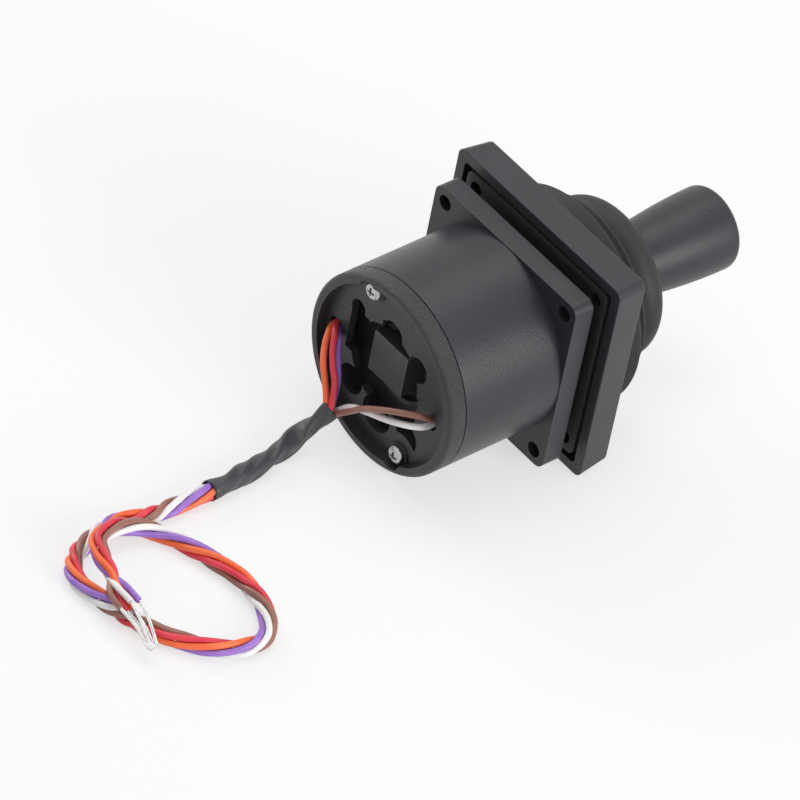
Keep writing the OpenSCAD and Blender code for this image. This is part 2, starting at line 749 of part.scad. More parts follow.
module lead_brown() {
    color("#9a6456") tube(brown_route, lead_d);
}

module lead_white() {
    color("#ecebea") tube(white_route, lead_d);
}

// The sleeve over the gathered leads
module lead_sleeve() {
    color("#3a3b3e") tube(sleeve_route, sleeve_d, 10);
}

// The twisted bundle of leads that lies on the table
module lead_bundle() {
    color("#b06a5c") tube(bundle_route, bundle_d, 8);
}

// The five tinned ends, fanned out
module lead_tips() {
    end = bundle_route[len(bundle_route) - 1];
    color("#c8c9cb") for (k = [-2 : 2])
        tube([for (step = tip_steps) end + step + k * [0.3, 0.9, 0] * (1 + step[0] / 20)], tip_d, 6);
}

housing();
rear_cover();
cover_screws();
pivot_bushes();
spring_plate();
spacer_sleeve();
centring_spring();
sensor_board();
field_sensors();
sensor_carrier();
sensor_block();
gimbal_ring();
gimbal_pins();
pivot_hub();
cross_pin();
stick_shaft();
spring_collar();
collar_clip();
sense_magnet();
handle_insert();
handle_knob();
boot();
bezel();
bezel_inserts();
lead_orange();
lead_red();
lead_violet();
lead_brown();
lead_white();
lead_sleeve();
lead_bundle();
lead_tips();
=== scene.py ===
# %% [markdown]
# # Dressing a two-axis panel joystick
#
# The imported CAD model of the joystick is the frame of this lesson. It lies on its side: the bezel
# leans on the table in front, and the rim of the rear cover leans on it behind. We keep every CAD
# piece where it is, give each one a finish, and model anew what a CAD solid can't show well:
# the rubber boot, the handle, the bezel, the screw heads and the five leads.

import json
import math

import bmesh
import bpy
import numpy as np
from mathutils import Matrix, Vector

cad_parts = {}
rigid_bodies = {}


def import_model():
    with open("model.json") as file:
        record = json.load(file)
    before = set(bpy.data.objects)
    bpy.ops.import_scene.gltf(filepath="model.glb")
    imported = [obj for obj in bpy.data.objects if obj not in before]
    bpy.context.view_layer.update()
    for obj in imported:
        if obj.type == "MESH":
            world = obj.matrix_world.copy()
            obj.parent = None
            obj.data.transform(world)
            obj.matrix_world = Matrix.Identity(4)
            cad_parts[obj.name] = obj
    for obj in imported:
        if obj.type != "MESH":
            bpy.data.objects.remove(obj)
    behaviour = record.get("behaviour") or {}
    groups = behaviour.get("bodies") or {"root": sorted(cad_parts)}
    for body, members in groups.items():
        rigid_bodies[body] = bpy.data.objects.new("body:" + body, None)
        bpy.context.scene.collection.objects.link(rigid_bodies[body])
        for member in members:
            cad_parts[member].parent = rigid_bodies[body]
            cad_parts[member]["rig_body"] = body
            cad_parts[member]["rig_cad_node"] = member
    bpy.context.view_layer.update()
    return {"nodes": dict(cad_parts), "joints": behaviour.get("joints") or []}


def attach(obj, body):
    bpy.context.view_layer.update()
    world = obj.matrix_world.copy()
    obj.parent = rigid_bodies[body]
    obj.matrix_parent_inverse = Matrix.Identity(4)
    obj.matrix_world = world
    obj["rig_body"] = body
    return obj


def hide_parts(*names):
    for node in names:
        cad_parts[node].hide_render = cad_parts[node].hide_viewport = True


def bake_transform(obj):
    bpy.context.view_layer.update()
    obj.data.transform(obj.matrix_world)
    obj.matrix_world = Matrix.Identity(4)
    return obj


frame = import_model()
nodes = frame["nodes"]
MM = 0.001

# %% [markdown]
# ## The stick's own axes
# Turned pieces are easiest to model upright, round the z axis, and to lay down at the end. The
# two tilt joints give the directions: the side pins, the cross pin, and the stick at right angles
# to both. Height 0 is the front face of the mounting flange, 6 mm in front of the tilt axes.

# %% From the stick's axes to the table
PIVOT_DEPTH = 6 * MM
joints = {joint["name"]: joint for joint in frame["joints"]}
side_axis = Vector(joints["tilt_sideways_pins"]["axis"])
cross_axis = Vector(joints["tilt_cross_pin"]["axis"])
stick_axis = side_axis.cross(cross_axis).normalized()
pivot = Vector(joints["tilt_cross_pin"]["pos_m"])
flange_front = pivot + PIVOT_DEPTH * stick_axis
axes = Matrix((side_axis, cross_axis, stick_axis)).transposed()
laid = Matrix.Translation(flange_front) @ axes.to_4x4()


def at(x, y, height):
    """A point given in millimetres on the stick's axes, as a point of the model."""
    return laid @ (Vector((x, y, height)) * MM)


print("the stick points along", [round(x, 3) for x in stick_axis])

# %% [markdown]
# ## The camera
# A long lens from far away keeps the lines of the body nearly parallel. The camera looks at the
# rear of the joystick from above and from the left of the stick, and it is rolled a little.

# %% Place the camera
CAMERA_PLACE = Vector((1.01661, -1.27913, 1.27710))
LOOKS_ALONG = Vector((-0.4984, 0.6069, -0.6191)).normalized()
CAMERA_UP = Vector((-0.5995, 0.2746, 0.7518))
camera_right = LOOKS_ALONG.cross(CAMERA_UP).normalized()
camera_up = camera_right.cross(LOOKS_ALONG)
bpy.ops.object.camera_add(location=CAMERA_PLACE)
camera = bpy.context.object
camera.rotation_euler = Matrix((camera_right, camera_up, -LOOKS_ALONG)).transposed().to_euler()
camera.data.lens = 393.7
camera.data.sensor_width = 36
camera.data.clip_start = 0.05
camera.data.clip_end = 50
bpy.context.scene.camera = camera
print("camera", round(CAMERA_PLACE.length, 2), "m from the origin")

# %% [markdown]
# ## The routes of the leads
# Five leads leave the rear cover, three by the left hole and two by the right one. A shrunk
# sleeve gathers them, and then they lie on the table as one twisted bundle that makes a loop.
# Each lead is one real cord, so each gets one curve from its hole to its bare end. We start from
# the same points, in millimetres, that the CAD solids follow.

# %% Points that the leads pass
FREE_ROUTES = {
    "orange": [(-20.4, -44.4, 24.6), (-20.4, -48, 24.2), (-18.4, -51.1, 23.6), (-16.6, -53, 21.5),
               (-14.4, -54.4, 18.8), (-12.2, -54.7, 15.4), (-9.7, -54.4, 11.7)],
    "red": [(-19.4, -44.4, 25.9), (-19.4, -48, 25.5), (-16.6, -50.8, 25), (-14.4, -52.6, 22.8),
            (-11.9, -53.8, 19.9), (-9.2, -54.4, 16.1), (-7.8, -53.9, 12.1)],
    "violet": [(-18.6, -44.4, 24.2), (-18.5, -47.7, 23.9), (-16.2, -49.3, 23.5),
               (-14.7, -50.4, 21.4), (-12.9, -50.9, 18.1), (-11, -51.5, 14.2),
               (-9.2, -52.6, 10.2)],
    "brown": [(16.1, -44.4, 23.8), (16, -47.9, 23.6), (15.5, -50.3, 24.8), (12.7, -52.4, 24.2),
              (7.5, -53.7, 21.6), (1.2, -54, 17.2), (-3.1, -53.5, 12.9), (-6.3, -53.2, 9.5)],
    "white": [(16.2, -44.4, 22.1), (16.3, -47.6, 21.9), (15.8, -50.2, 21.8), (12.7, -52.3, 20.8),
              (7.5, -53.1, 18.6), (1.3, -53.1, 16), (-3.9, -53, 13.3), (-7.3, -53.3, 10.7)],
}
SLEEVE_ROUTE = [(-7.7, -54.4, 10.2), (-8.5, -56.4, 7.6), (-9.5, -59, 4.7), (-9.2, -62.3, 3.3),
                (-8, -67.2, 2.8), (-6.8, -71.8, 2.7), (-6, -76.5, 2.7), (-5, -80.9, 2.7),
                (-4.2, -84.9, 2.7), (-3.9, -89.7, 2.6), (-3.7, -94.3, 2.5)]
BUNDLE_ROUTE = [
    (-3.7, -94.3, 2.5), (-3.3, -98.6, 2.3), (-3.4, -102.5, 2.3), (-3, -107.4, 2.3),
    (-3.2, -112.3, 2.3), (-4.2, -116.9, 2.3), (-4.8, -120.9, 2.3), (-4.2, -125.3, 2.3),
    (-2.5, -130.5, 2.3), (-0.3, -135.5, 2.3), (3, -139.6, 2.3), (7.6, -141.7, 2.3),
    (12, -141.1, 2.3), (16.6, -140, 2.3), (21.2, -138.7, 2.3), (25.5, -137.1, 2.3),
    (29.9, -135.3, 2.3), (33.6, -132.4, 2.3), (37.1, -129.3, 2.3), (40.2, -125.2, 2.3),
    (42.1, -120.5, 2.3), (42.3, -115.8, 2.3), (40.1, -111.4, 2.3), (35.7, -108.1, 2.3),
    (30.2, -106.3, 2.3), (24.9, -105.8, 2.3), (20.3, -106.3, 2.3), (16.2, -107.5, 2.3),
    (12, -108.9, 2.3), (7.9, -110.4, 2.3), (4.4, -112.4, 2.3), (1.2, -115.4, 2.8),
    (-0.3, -119, 4), (-0.5, -123.2, 5.4), (-0.2, -127.4, 6.4), (1, -131.2, 6.7),
    (3.4, -133.9, 6.7), (6.6, -135, 6.5), (10.1, -135.6, 6.4), (14.4, -136.1, 6.2),
    (18.3, -136.5, 6)]
print(len(BUNDLE_ROUTE), "points along the bundle")

# %% [markdown]
# A lead is stiff enough to bend in smooth curves, so the straight steps between the points become
# a Catmull-Rom curve, which passes through every point. It is then cut into even steps.

# %% Smooth curves through the points


def through(points, between):
    """A smooth curve through all the points, drawn in so many pieces from each to the next."""
    p = np.array(points, float)
    p = np.vstack([2 * p[0] - p[1], p, 2 * p[-1] - p[-2]])
    fine = []
    for a, b, c, d in zip(p[:-3], p[1:-2], p[2:-1], p[3:]):
        for t in np.linspace(0, 1, between, endpoint=False):
            fine.append(0.5 * (2 * b + (c - a) * t + (2 * a - 5 * b + 4 * c - d) * t**2
                               + (3 * b - a - 3 * c + d) * t**3))
    return np.array(fine + [p[-2]])


def lengths_along(line):
    return np.r_[0, np.cumsum(np.linalg.norm(np.diff(line, axis=0), axis=1))]


def evenly(line, step):
    """The same line with points an even step apart."""
    along = lengths_along(line)
    places = np.linspace(0, along[-1], max(2, round(along[-1] / step) + 1))
    return np.stack([np.interp(places, along, line[:, k]) for k in range(3)], axis=1)


def smooth(points, step):
    """Points a step apart on a smooth curve through all the points."""
    return evenly(through(points, 16), step)


trunk = smooth(np.array(SLEEVE_ROUTE + BUNDLE_ROUTE[1:]) * MM, 1 * MM)
trunk_at = lengths_along(trunk)
SLEEVE_LENGTH = 43.8 * MM
print(f"sleeve {SLEEVE_LENGTH / MM:.0f} mm, sleeve and bundle {trunk_at[-1] / MM:.0f} mm")

# %% [markdown]
# ## The twist
# Five equal round leads twisted together stand in a ring round an empty middle. The real bundle
# is twisted by hand: tight where it leaves the sleeve, slack in the loop. So we say how many
# fifths of a turn it has made at each length, and which colour then lies on top follows from it.

# %% Twist the five leads round the trunk
LEAD_D = 1.6 * MM
SLACK = 1.07
RING_R = SLACK * LEAD_D / 2 / math.sin(math.pi / 5)
ORDER = ["violet", "white", "brown", "red", "orange"]
# Inside the sleeve the leads lie flat, three above two: their places across it, in the same order
FLAT = np.array([(0, 0.55), (1.6, 0.55), (0.8, -0.84), (-0.8, -0.84), (-1.6, 0.55)]) * MM
FLAT_UNTIL, FLAT_FADES = 42 * MM, 6 * MM
FIFTH = 2 * math.pi / 5
# Millimetres along the trunk, and fifths of a turn made there
TWIST = [(0, -7), (44, -0.5), (51.5, 0.2), (57, 1), (60.7, 2), (64.5, 3), (71.5, 3.4), (73.5, 4),
         (75.7, 5), (82.4, 6.2), (87.1, 7), (90, 8), (92.4, 9), (96.8, 9.6), (100.9, 10),
         (105.6, 10.6), (108.4, 11), (110.8, 12), (113.3, 12.6), (118.4, 13), (124.5, 13.3),
         (130, 14), (134.3, 14.5), (139.4, 15), (144.5, 15.8), (149.5, 16), (155.6, 16.3),
         (160.7, 17), (165.8, 17.9), (174.7, 18.2), (179.1, 19), (183.5, 19.5), (187.5, 20),
         (191.9, 20.6), (196, 21), (200.5, 21.5), (204.8, 22.2), (208.5, 22.6), (212.2, 23.1),
         (215.5, 23.6), (219.2, 24.2), (223.5, 25), (227.5, 25.9)]
twist_at, twist_made = np.array(TWIST).T
fifths = np.interp(trunk_at / MM, twist_at, twist_made)
# A running average takes the corners out of the table
AVERAGED = 5
fifths = np.convolve(np.pad(fifths, AVERAGED // 2, mode="edge"), np.ones(AVERAGED) / AVERAGED,
                     mode="valid")
# The table counts from the side of the bundle that faces the viewer
towards_viewer = -np.array(LOOKS_ALONG)
trunk_way = np.gradient(trunk, axis=0)
trunk_way /= np.linalg.norm(trunk_way, axis=1)[:, None]
trunk_side = np.cross(trunk_way, towards_viewer)
trunk_side /= np.linalg.norm(trunk_side, axis=1)[:, None]
trunk_top = np.cross(trunk_side, trunk_way)
in_flat = np.clip((FLAT_UNTIL - trunk_at) / FLAT_FADES, 0, 1)


def strand(place_in_ring):
    """The line of one lead inside the twisted bundle."""
    angle = math.pi / 2 - FIFTH * place_in_ring
    ring_place = RING_R * np.array((math.cos(angle), math.sin(angle)))
    place = in_flat[:, None] * FLAT[place_in_ring] + (1 - in_flat[:, None]) * ring_place
    turned_by = FIFTH * fifths
    along_side = place[:, 0] * np.cos(turned_by) - place[:, 1] * np.sin(turned_by)
    along_top = place[:, 0] * np.sin(turned_by) + place[:, 1] * np.cos(turned_by)
    return trunk + along_side[:, None] * trunk_side + along_top[:, None] * trunk_top


print(f"{(fifths[-1] - fifths[0]) / 5:.1f} turns in all")

# %% [markdown]
# ## One curve for each lead
# The free part of a lead runs into the mouth of the sleeve, where it joins its own strand of the
# twist. A poly curve with a round bevel is the plainest way to draw an insulated wire. The last
# millimetres spread out, because the bare ends push the insulation apart.

# %% Draw the leads
SPREAD = 12 * MM
LAST_STEP = 3.4 * MM
LEAD_STEP = 0.9 * MM
# Where the insulation of each lead ends, and where its tinned end stops, in millimetres
ENDS = {
    "violet": [(21.9, -136.2, 6.2), (34.6, -140.7, 4.9)],
    "white": [(21.8, -138.8, 7), (35.4, -143.1, 5)],
    "brown": [(21.8, -141.4, 5.8), (34.8, -143.1, 4.6)],
    "red": [(22.6, -139.9, 5), (34.9, -142, 4.5)],
    "orange": [(22.3, -138, 4.8), (34.7, -141.4, 4.4)],
}


def curve_object(name, lines, radius, resolution=3):
    """A curve with a round section and one poly spline for each line."""
    curve = bpy.data.curves.new(name, "CURVE")
    curve.dimensions = "3D"
    curve.bevel_depth = radius
    curve.bevel_resolution = resolution
    curve.use_fill_caps = True
    for line in lines:
        spline = curve.splines.new("POLY")
        spline.points.add(len(line) - 1)
        spline.points.foreach_set("co", np.c_[line, np.ones(len(line))].ravel())
        spline.use_smooth = True
    obj = bpy.data.objects.new(name, curve)
    bpy.context.scene.collection.objects.link(obj)
    return obj


def work_on(obj):
    """Selects one object and makes it the active one."""
    bpy.ops.object.select_all(action="DESELECT")
    bpy.context.view_layer.objects.active = obj
    obj.select_set(True)


def to_mesh(obj):
    work_on(obj)
    bpy.ops.object.convert(target="MESH")
    return bpy.context.object


leads, lead_lines = {}, {}
still_to_go = trunk_at[-1] - trunk_at
pulled = np.clip(1 - still_to_go / SPREAD, 0, 1)[:, None]
pulled = pulled * pulled * (3 - 2 * pulled)
for place, colour in enumerate(ORDER):
    end = np.array(ENDS[colour][0]) * MM
    twisted_part = strand(place)
    twisted_part += pulled * (end - trunk_way[-1] * LAST_STEP - twisted_part[-1])
    free_part = np.array(FREE_ROUTES[colour]) * MM
    # A point of the twist every five millimetres is enough for a smooth curve
    line = smooth(np.vstack([free_part[:-1], twisted_part[1::5], end]), LEAD_STEP)
    leads[colour] = to_mesh(curve_object("lead_" + colour + "_wire", [line], LEAD_D / 2))
    lead_lines[colour] = line
    print(f"{colour} lead: {lengths_along(line)[-1] / MM:.0f} mm")

# %% [markdown]
# ## The tinned ends
# Each lead ends in a short bundle of fine copper strands, twisted and tinned. Seven strands, one
# in the middle and six round it, make such an end. They are curves too, turned into one mesh.

# %% Draw the tinned ends
STRAND_D = 0.3 * MM
STRAND_PITCH = 11 * MM
STRANDS_ROUND = 6
# Tin pulls the outer strands a little into the middle one
STRAND_RING_R = 0.96 * STRAND_D
TIP_BOW = np.array((0, 0.3, 0.5)) * MM
tips = {}
for place, colour in enumerate(ORDER):
    start, stop = (np.array(point) * MM for point in ENDS[colour])
    middle = smooth([lead_lines[colour][-4], start, (start + stop) / 2 + TIP_BOW, stop], 0.5 * MM)
    way = np.gradient(middle, axis=0)
    way /= np.linalg.norm(way, axis=1)[:, None]
    side = np.cross(way, (0, 0, 1))
    side /= np.linalg.norm(side, axis=1)[:, None]
    top = np.cross(side, way)
    turn = 2 * math.pi * lengths_along(middle) / STRAND_PITCH + place
    lines = [middle]
    for k in range(STRANDS_ROUND):
        angle = (turn + 2 * math.pi * k / STRANDS_ROUND)[:, None]
        lines.append(middle + STRAND_RING_R * (np.cos(angle) * side + np.sin(angle) * top))
    tips[colour] = to_mesh(curve_object("tinned_end_" + colour, lines, STRAND_D / 2, 1))
print(len(tips), "tinned ends of", STRANDS_ROUND + 1, "strands")

# %% [markdown]
# ## The shrunk sleeve
# Heat shrinks the sleeve onto the leads, which lie flat in it and are twisted, so it looks like a
# twisted band with soft edges. Its outline is a rubber band round the five leads. A curve can
# sweep any outline, and then its rings are turned along the way. Solidify gives the tube a wall.

# %% A rubber band round the leads
SLEEVE_WALL = 0.32 * MM
SLEEVE_SIDES = 72
EDGE_ON = 0.05
outline_angles = np.linspace(0, 2 * math.pi, SLEEVE_SIDES, endpoint=False)
pulled_from = np.linspace(0, 2 * math.pi, 5 * SLEEVE_SIDES, endpoint=False)
reach = (FLAT @ np.array((np.cos(pulled_from), np.sin(pulled_from)))).max(axis=0) + LEAD_D / 2
facing = np.cos(outline_angles[:, None] - pulled_from)
# The band lies on the nearest of the straight lines that touch the leads from all sides
far_off = 1
band = np.where(facing > EDGE_ON, reach / np.maximum(facing, EDGE_ON), far_off).min(axis=1)
band += SLEEVE_WALL
print(f"the flat leads make the sleeve {2 * band.max() / MM:.1f} mm wide")

# %% Sweep the sleeve


def apply_modifier(obj, kind, **settings):
    """Adds a modifier with these settings and applies it."""
    work_on(obj)
    modifier = obj.modifiers.new(kind.lower(), kind)
    for key, value in settings.items():
        setattr(modifier, key, value)
    bpy.ops.object.modifier_apply(modifier=modifier.name)


outline = curve_object("sleeve_outline", [np.stack(
    [band * np.cos(outline_angles), band * np.sin(outline_angles), 0 * band], axis=1)], 0)
outline.data.use_fill_caps = False
outline.data.splines[0].use_cyclic_u = True
in_sleeve = trunk_at <= SLEEVE_LENGTH
sleeve_curve = curve_object("shrunk_sleeve", [trunk[in_sleeve]], 0)
sleeve_curve.data.bevel_mode = "OBJECT"
sleeve_curve.data.bevel_object = outline
sleeve_curve.data.use_fill_caps = False
sleeve = to_mesh(sleeve_curve)
bpy.data.objects.remove(outline)
# Each ring of the tube is turned with the leads that it holds
twisted = outline_angles + FIFTH * fifths[in_sleeve][:, None]
around = (np.cos(twisted)[..., None] * trunk_side[in_sleeve][:, None]
          + np.sin(twisted)[..., None] * trunk_top[in_sleeve][:, None])
round_end = RING_R + LEAD_D / 2 + SLEEVE_WALL
still_flat = in_flat[in_sleeve][:, None, None]
rings = trunk[in_sleeve][:, None] + around * (
    still_flat * band[:, None] + (1 - still_flat) * round_end)
sleeve.data.vertices.foreach_set("co", rings.ravel())
bpy.ops.object.mode_set(mode="EDIT")
bpy.ops.mesh.select_all(action="SELECT")
bpy.ops.mesh.normals_make_consistent(inside=False)
bpy.ops.object.mode_set(mode="OBJECT")
apply_modifier(sleeve, "SOLIDIFY", thickness=SLEEVE_WALL, offset=-1)
bpy.ops.object.shade_smooth()
print(len(sleeve.data.polygons), "faces in the sleeve")

# %% [markdown]
# ## The leads go with the base
# The leads, their tinned ends and the sleeve go with the base, and the CAD leads are hidden.

for colour, obj in leads.items():
    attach(obj, "base")
    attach(tips[colour], "base")
    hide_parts("lead_" + colour, "lead_bundle")
    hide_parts("lead_tips")
    line = lead_lines[colour]
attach(sleeve, "base")
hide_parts("lead_sleeve")
print("cords declared:", ", ".join(leads))

# %% [markdown]
# ## Turned pieces, ring by ring
# The boot, the handle and the screw heads are all round, so they are turned: one circle is
# extruded and resized again and again until it has followed the whole outline. The piece is made
# upright at the origin, then laid down on the table, and its place is applied to its mesh.

# %% A lathe in edit mode
# Points nearer than this are one point, and a ring as small as AXIS_R closes to a point
SAME_POINT = 0.005 * MM
AXIS_R = 0.02


def turned(name, outline_mm, steps=128):
    """Turns an outline of (radius, height) round the z axis. Leaves the piece in edit mode."""
    bpy.ops.object.select_all(action="DESELECT")
    radius, height = outline_mm[0]
    bpy.ops.mesh.primitive_circle_add(vertices=steps, radius=radius * MM, enter_editmode=True,
                                      fill_type="NOTHING", location=(0, 0, height * MM))
    bpy.context.object.name = name
    for next_radius, next_height in outline_mm[1:]:
        bpy.ops.mesh.extrude_edges_move(
            TRANSFORM_OT_translate={"value": (0, 0, (next_height - height) * MM)})
        change = next_radius / radius
        bpy.ops.transform.resize(value=(change, change, 1))
        radius, height = next_radius, next_height
    merge_near(SAME_POINT)
    return bpy.context.object


def merge_near(gap):
    """In edit mode, makes one point of those nearer than a gap, and turns all faces outwards."""
    bpy.ops.mesh.select_all(action="SELECT")
    bpy.ops.mesh.remove_doubles(threshold=gap)
    bpy.ops.mesh.normals_make_consistent(inside=False)


def lay_down(obj):
    """Lays a finished piece on the table and applies its place."""
    if obj.mode == "EDIT":
        bpy.ops.object.mode_set(mode="OBJECT")
    work_on(obj)
    bpy.ops.object.transform_apply(location=True, rotation=True, scale=True)
    obj.matrix_world = laid
    bpy.ops.object.transform_apply(location=True, rotation=True, scale=True)


def soft_shade(obj, degrees=35):
    """Shades the piece smooth, apart from edges that turn by more than an angle."""
    work_on(obj)
    bpy.ops.object.shade_smooth_by_angle(angle=math.radians(degrees))


print("lathe ready")

# %% [markdown]
# ## The rubber boot
# The boot seals the stick. From its root inside the bezel it folds out over the bezel's edge,
# steps in twice with thin lips, swells into a large soft fold and ends in a cuff round the
# handle's neck. It follows two joints, one after the other, and it is turned in two pieces
# that share one ring in the deepest groove: the lower piece runs from the root to that groove,
# and the upper one from there to the cuff.

# %% Turn the two halves of the boot
BOOT_WALL = 1.1 * MM
LOWER_FOLDS = [(25.4, 5.4), (25.4, 9), (25.4, 12.2), (25.8, 13.8), (26.7, 15.6), (27.35, 16.9),
               (27.5, 17.4), (27.2, 17.8), (25.6, 18.2), (23.4, 18.8), (22.5, 19.5),
               (22.6, 20.3), (23.2, 21.2), (23.7, 21.8), (23.75, 22.1), (23.4, 22.4),
               (21.8, 22.8), (20, 23.3), (19.1, 24)]
UPPER_FOLD = [(19.1, 24), (19.1, 24.8), (19.8, 26), (20.4, 27.4), (20.45, 28.8), (20, 30.4),
              (18.9, 31.9), (17.2, 32.9), (14.8, 33.3), (12.2, 33), (10.2, 32.5), (8.8, 32.7),
              (8.1, 33.6), (8, 34.8), (8, 36.2), (7.7, 36.7), (7.1, 36.7)]


def boot_half(name, folds):
    """One half of the boot, turned from its folds, laid down and given its wall."""
    obj = turned(name, through(folds, 3))
    lay_down(obj)
    apply_modifier(obj, "SOLIDIFY", thickness=BOOT_WALL, offset=-1)
    soft_shade(obj, 60)
    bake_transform(obj)
    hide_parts("boot")
    return obj


boot_lower = boot_half("boot_lower_folds", LOWER_FOLDS)
boot_upper = boot_half("boot_upper_fold", UPPER_FOLD)
print("boot:", len(boot_lower.data.polygons) + len(boot_upper.data.polygons), "faces")

# %% [markdown]
# ## Boxes, edges and holes
# The square pieces start as a cube. Its edges and faces are picked by where they are, as one would
# click them, so that a bevel or an inset works on them alone. Round holes are cut by cylinders.

# %% Helpers for the square pieces


def block(name, width, depth, low, high):
    """A box between two heights, in millimetres, as a new object."""
    bpy.ops.object.select_all(action="DESELECT")
    bpy.ops.mesh.primitive_cube_add(size=1, location=(0, 0, (low + high) / 2 * MM))
    obj = bpy.context.object
    obj.name = name
    obj.scale = (width * MM, depth * MM, (high - low) * MM)
    bpy.ops.object.transform_apply(location=True, rotation=True, scale=True)
    return obj


def select_only(obj, kind, test):
    """In edit mode, selects only the edges or faces that pass a test, and counts them."""
    bpy.ops.mesh.select_mode(type={"edges": "EDGE", "faces": "FACE"}[kind])
    bpy.ops.mesh.select_all(action="DESELECT")
    mesh = bmesh.from_edit_mesh(obj.data)
    chosen = 0
    for element in getattr(mesh, kind):
        if test(element):
            element.select_set(True)
            chosen += 1
    mesh.select_flush_mode()
    bmesh.update_edit_mesh(obj.data)
    return chosen


def upright(edge):
    a, b = (v.co for v in edge.verts)
    return (a - b).xy.length < 0.01 * MM


def edge_at(height_mm, around=None):
    """A test for edges that lie flat at a height, and whose middle passes a second test."""
    def test(edge):
        flat = all(abs(v.co.z - height_mm * MM) < 0.01 * MM for v in edge.verts)
        return flat and (around is None or around((edge.verts[0].co + edge.verts[1].co) / 2))
    return test


def cut_round(obj, places, radius, low, high):
    """Cuts a round hole at each place, all the way from one height to the other."""
    for x, y in places:
        bpy.ops.object.select_all(action="DESELECT")
        bpy.ops.mesh.primitive_cylinder_add(
            vertices=64, radius=radius * MM, depth=(high - low) * MM,
            location=(x * MM, y * MM, (low + high) / 2 * MM))
        cutter = bpy.context.object
        apply_modifier(obj, "BOOLEAN", operation="DIFFERENCE", object=cutter, solver="EXACT")
        bpy.data.objects.remove(cutter)


HOLE_AT = 21.8
CORNERS = [(x * HOLE_AT, y * HOLE_AT) for x in (-1, 1) for y in (-1, 1)]
print("the four screws stand", 2 * HOLE_AT, "mm apart")

# %% [markdown]
# The boot's square flange is squeezed between the panel and the bezel. It is a thin plate with
# round corners, with a hole for the collar and four for the screws.

# %% Cut the boot's flange
FLANGE_W, FLANGE_LOW, FLANGE_HIGH, FLANGE_CORNER_R, FLANGE_EDGE_R = 51.2, 3.95, 6.3, 2, 0.35
COLLAR_HOLE_R, SCREW_HOLE_R = 19.6, 1.9
CUT_FROM, CUT_TO = 3, 7
boot_flange = block("boot_flange", FLANGE_W, FLANGE_W, FLANGE_LOW, FLANGE_HIGH)
bpy.ops.object.mode_set(mode="EDIT")
select_only(boot_flange, "edges", upright)
bpy.ops.mesh.bevel(offset=FLANGE_CORNER_R * MM, segments=6)
select_only(boot_flange, "edges", edge_at(FLANGE_LOW))
bpy.ops.mesh.bevel(offset=FLANGE_EDGE_R * MM, segments=2)
bpy.ops.object.mode_set(mode="OBJECT")
cut_round(boot_flange, [(0, 0)], COLLAR_HOLE_R, CUT_FROM, CUT_TO)
cut_round(boot_flange, CORNERS, SCREW_HOLE_R, CUT_FROM, CUT_TO)
lay_down(boot_flange)
soft_shade(boot_flange)
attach(boot_flange, "base")
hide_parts("boot")
print("boot flange with", len(CORNERS), "screw holes")

# %% [markdown]
# ## The handle
# A moulded conical handle for the fingertips: narrow at the boot, widest near its rounded upper
# edge, with a slightly domed top. The outline runs from the top of its blind bore, down the neck
# inside the boot, and up the outside. A tiny raised moulding mark stands on its side.

# %% Turn the handle
HANDLE_LOW, HANDLE_R, TOP, DOME_H, EDGE_R = 37, 10.7, 65.5, 0.9, 1.9
BASE_R, BASE_CHAMFER, NECK_R, NECK_LOW, NECK_CHAMFER = 8.8, 0.5, 6.5, 31.8, 0.3
INSERT_R, INSERT_LOW, INSERT_TOP, SHAFT_R = 4.5, 37.5, 51.5, 3.02
FLARE_STEPS, DOME_STEPS = 14, 8
FLARE_LOW, FLARE_TOP = HANDLE_LOW + BASE_CHAMFER, TOP - DOME_H - EDGE_R
bore = [(AXIS_R, INSERT_TOP), (INSERT_R, INSERT_TOP), (INSERT_R, INSERT_LOW),
        (SHAFT_R, INSERT_LOW), (SHAFT_R, NECK_LOW)]
neck = [(NECK_R - NECK_CHAMFER, NECK_LOW), (NECK_R, NECK_LOW + NECK_CHAMFER),
        (NECK_R, HANDLE_LOW), (BASE_R - BASE_CHAMFER, HANDLE_LOW)]
flare = [(BASE_R + (HANDLE_R - BASE_R) * math.sin(math.pi / 2 * k / FLARE_STEPS),
          FLARE_LOW + (FLARE_TOP - FLARE_LOW) * k / FLARE_STEPS) for k in range(FLARE_STEPS + 1)]
edge = [(HANDLE_R - EDGE_R + EDGE_R * math.cos(math.radians(a)),
         FLARE_TOP + EDGE_R * math.sin(math.radians(a))) for a in range(9, 82, 9)]
dome_r, dome_low = edge[-1]
dome = [(dome_r * (1 - k / DOME_STEPS),
         dome_low + (TOP - dome_low) * (1 - (1 - k / DOME_STEPS) ** 2))
        for k in range(1, DOME_STEPS)]
handle = turned("conical_handle", bore + neck + flare + edge + dome + [(AXIS_R, TOP)], steps=160)
merge_near(2 * AXIS_R * MM)
lay_down(handle)
print("handle", len(handle.data.polygons), "faces")

# %% Add the moulding mark
MARK_ANGLE, MARK_HEIGHT, MARK_D, MARK_LEN, MARK_SINKS = math.radians(285), 59, 1.9, 1, 0.44
LEANS_BACK = -0.02
outwards = Vector((math.cos(MARK_ANGLE), math.sin(MARK_ANGLE), LEANS_BACK)).normalized()
bpy.ops.object.select_all(action="DESELECT")
bpy.ops.mesh.primitive_cylinder_add(vertices=32, radius=MARK_D / 2 * MM, depth=MARK_LEN * MM)
mark = bpy.context.object
apply_modifier(mark, "BEVEL", width=0.08 * MM, segments=2)
mark.rotation_euler = outwards.to_track_quat("Z", "Y").to_euler()
mark.location = (*outwards.xy * (HANDLE_R - MARK_SINKS) * MM, MARK_HEIGHT * MM)
lay_down(mark)
apply_modifier(handle, "BOOLEAN", operation="UNION", object=mark, solver="EXACT")
bpy.data.objects.remove(mark)
soft_shade(handle, 50)
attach(handle, "stick")
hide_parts("handle_knob")
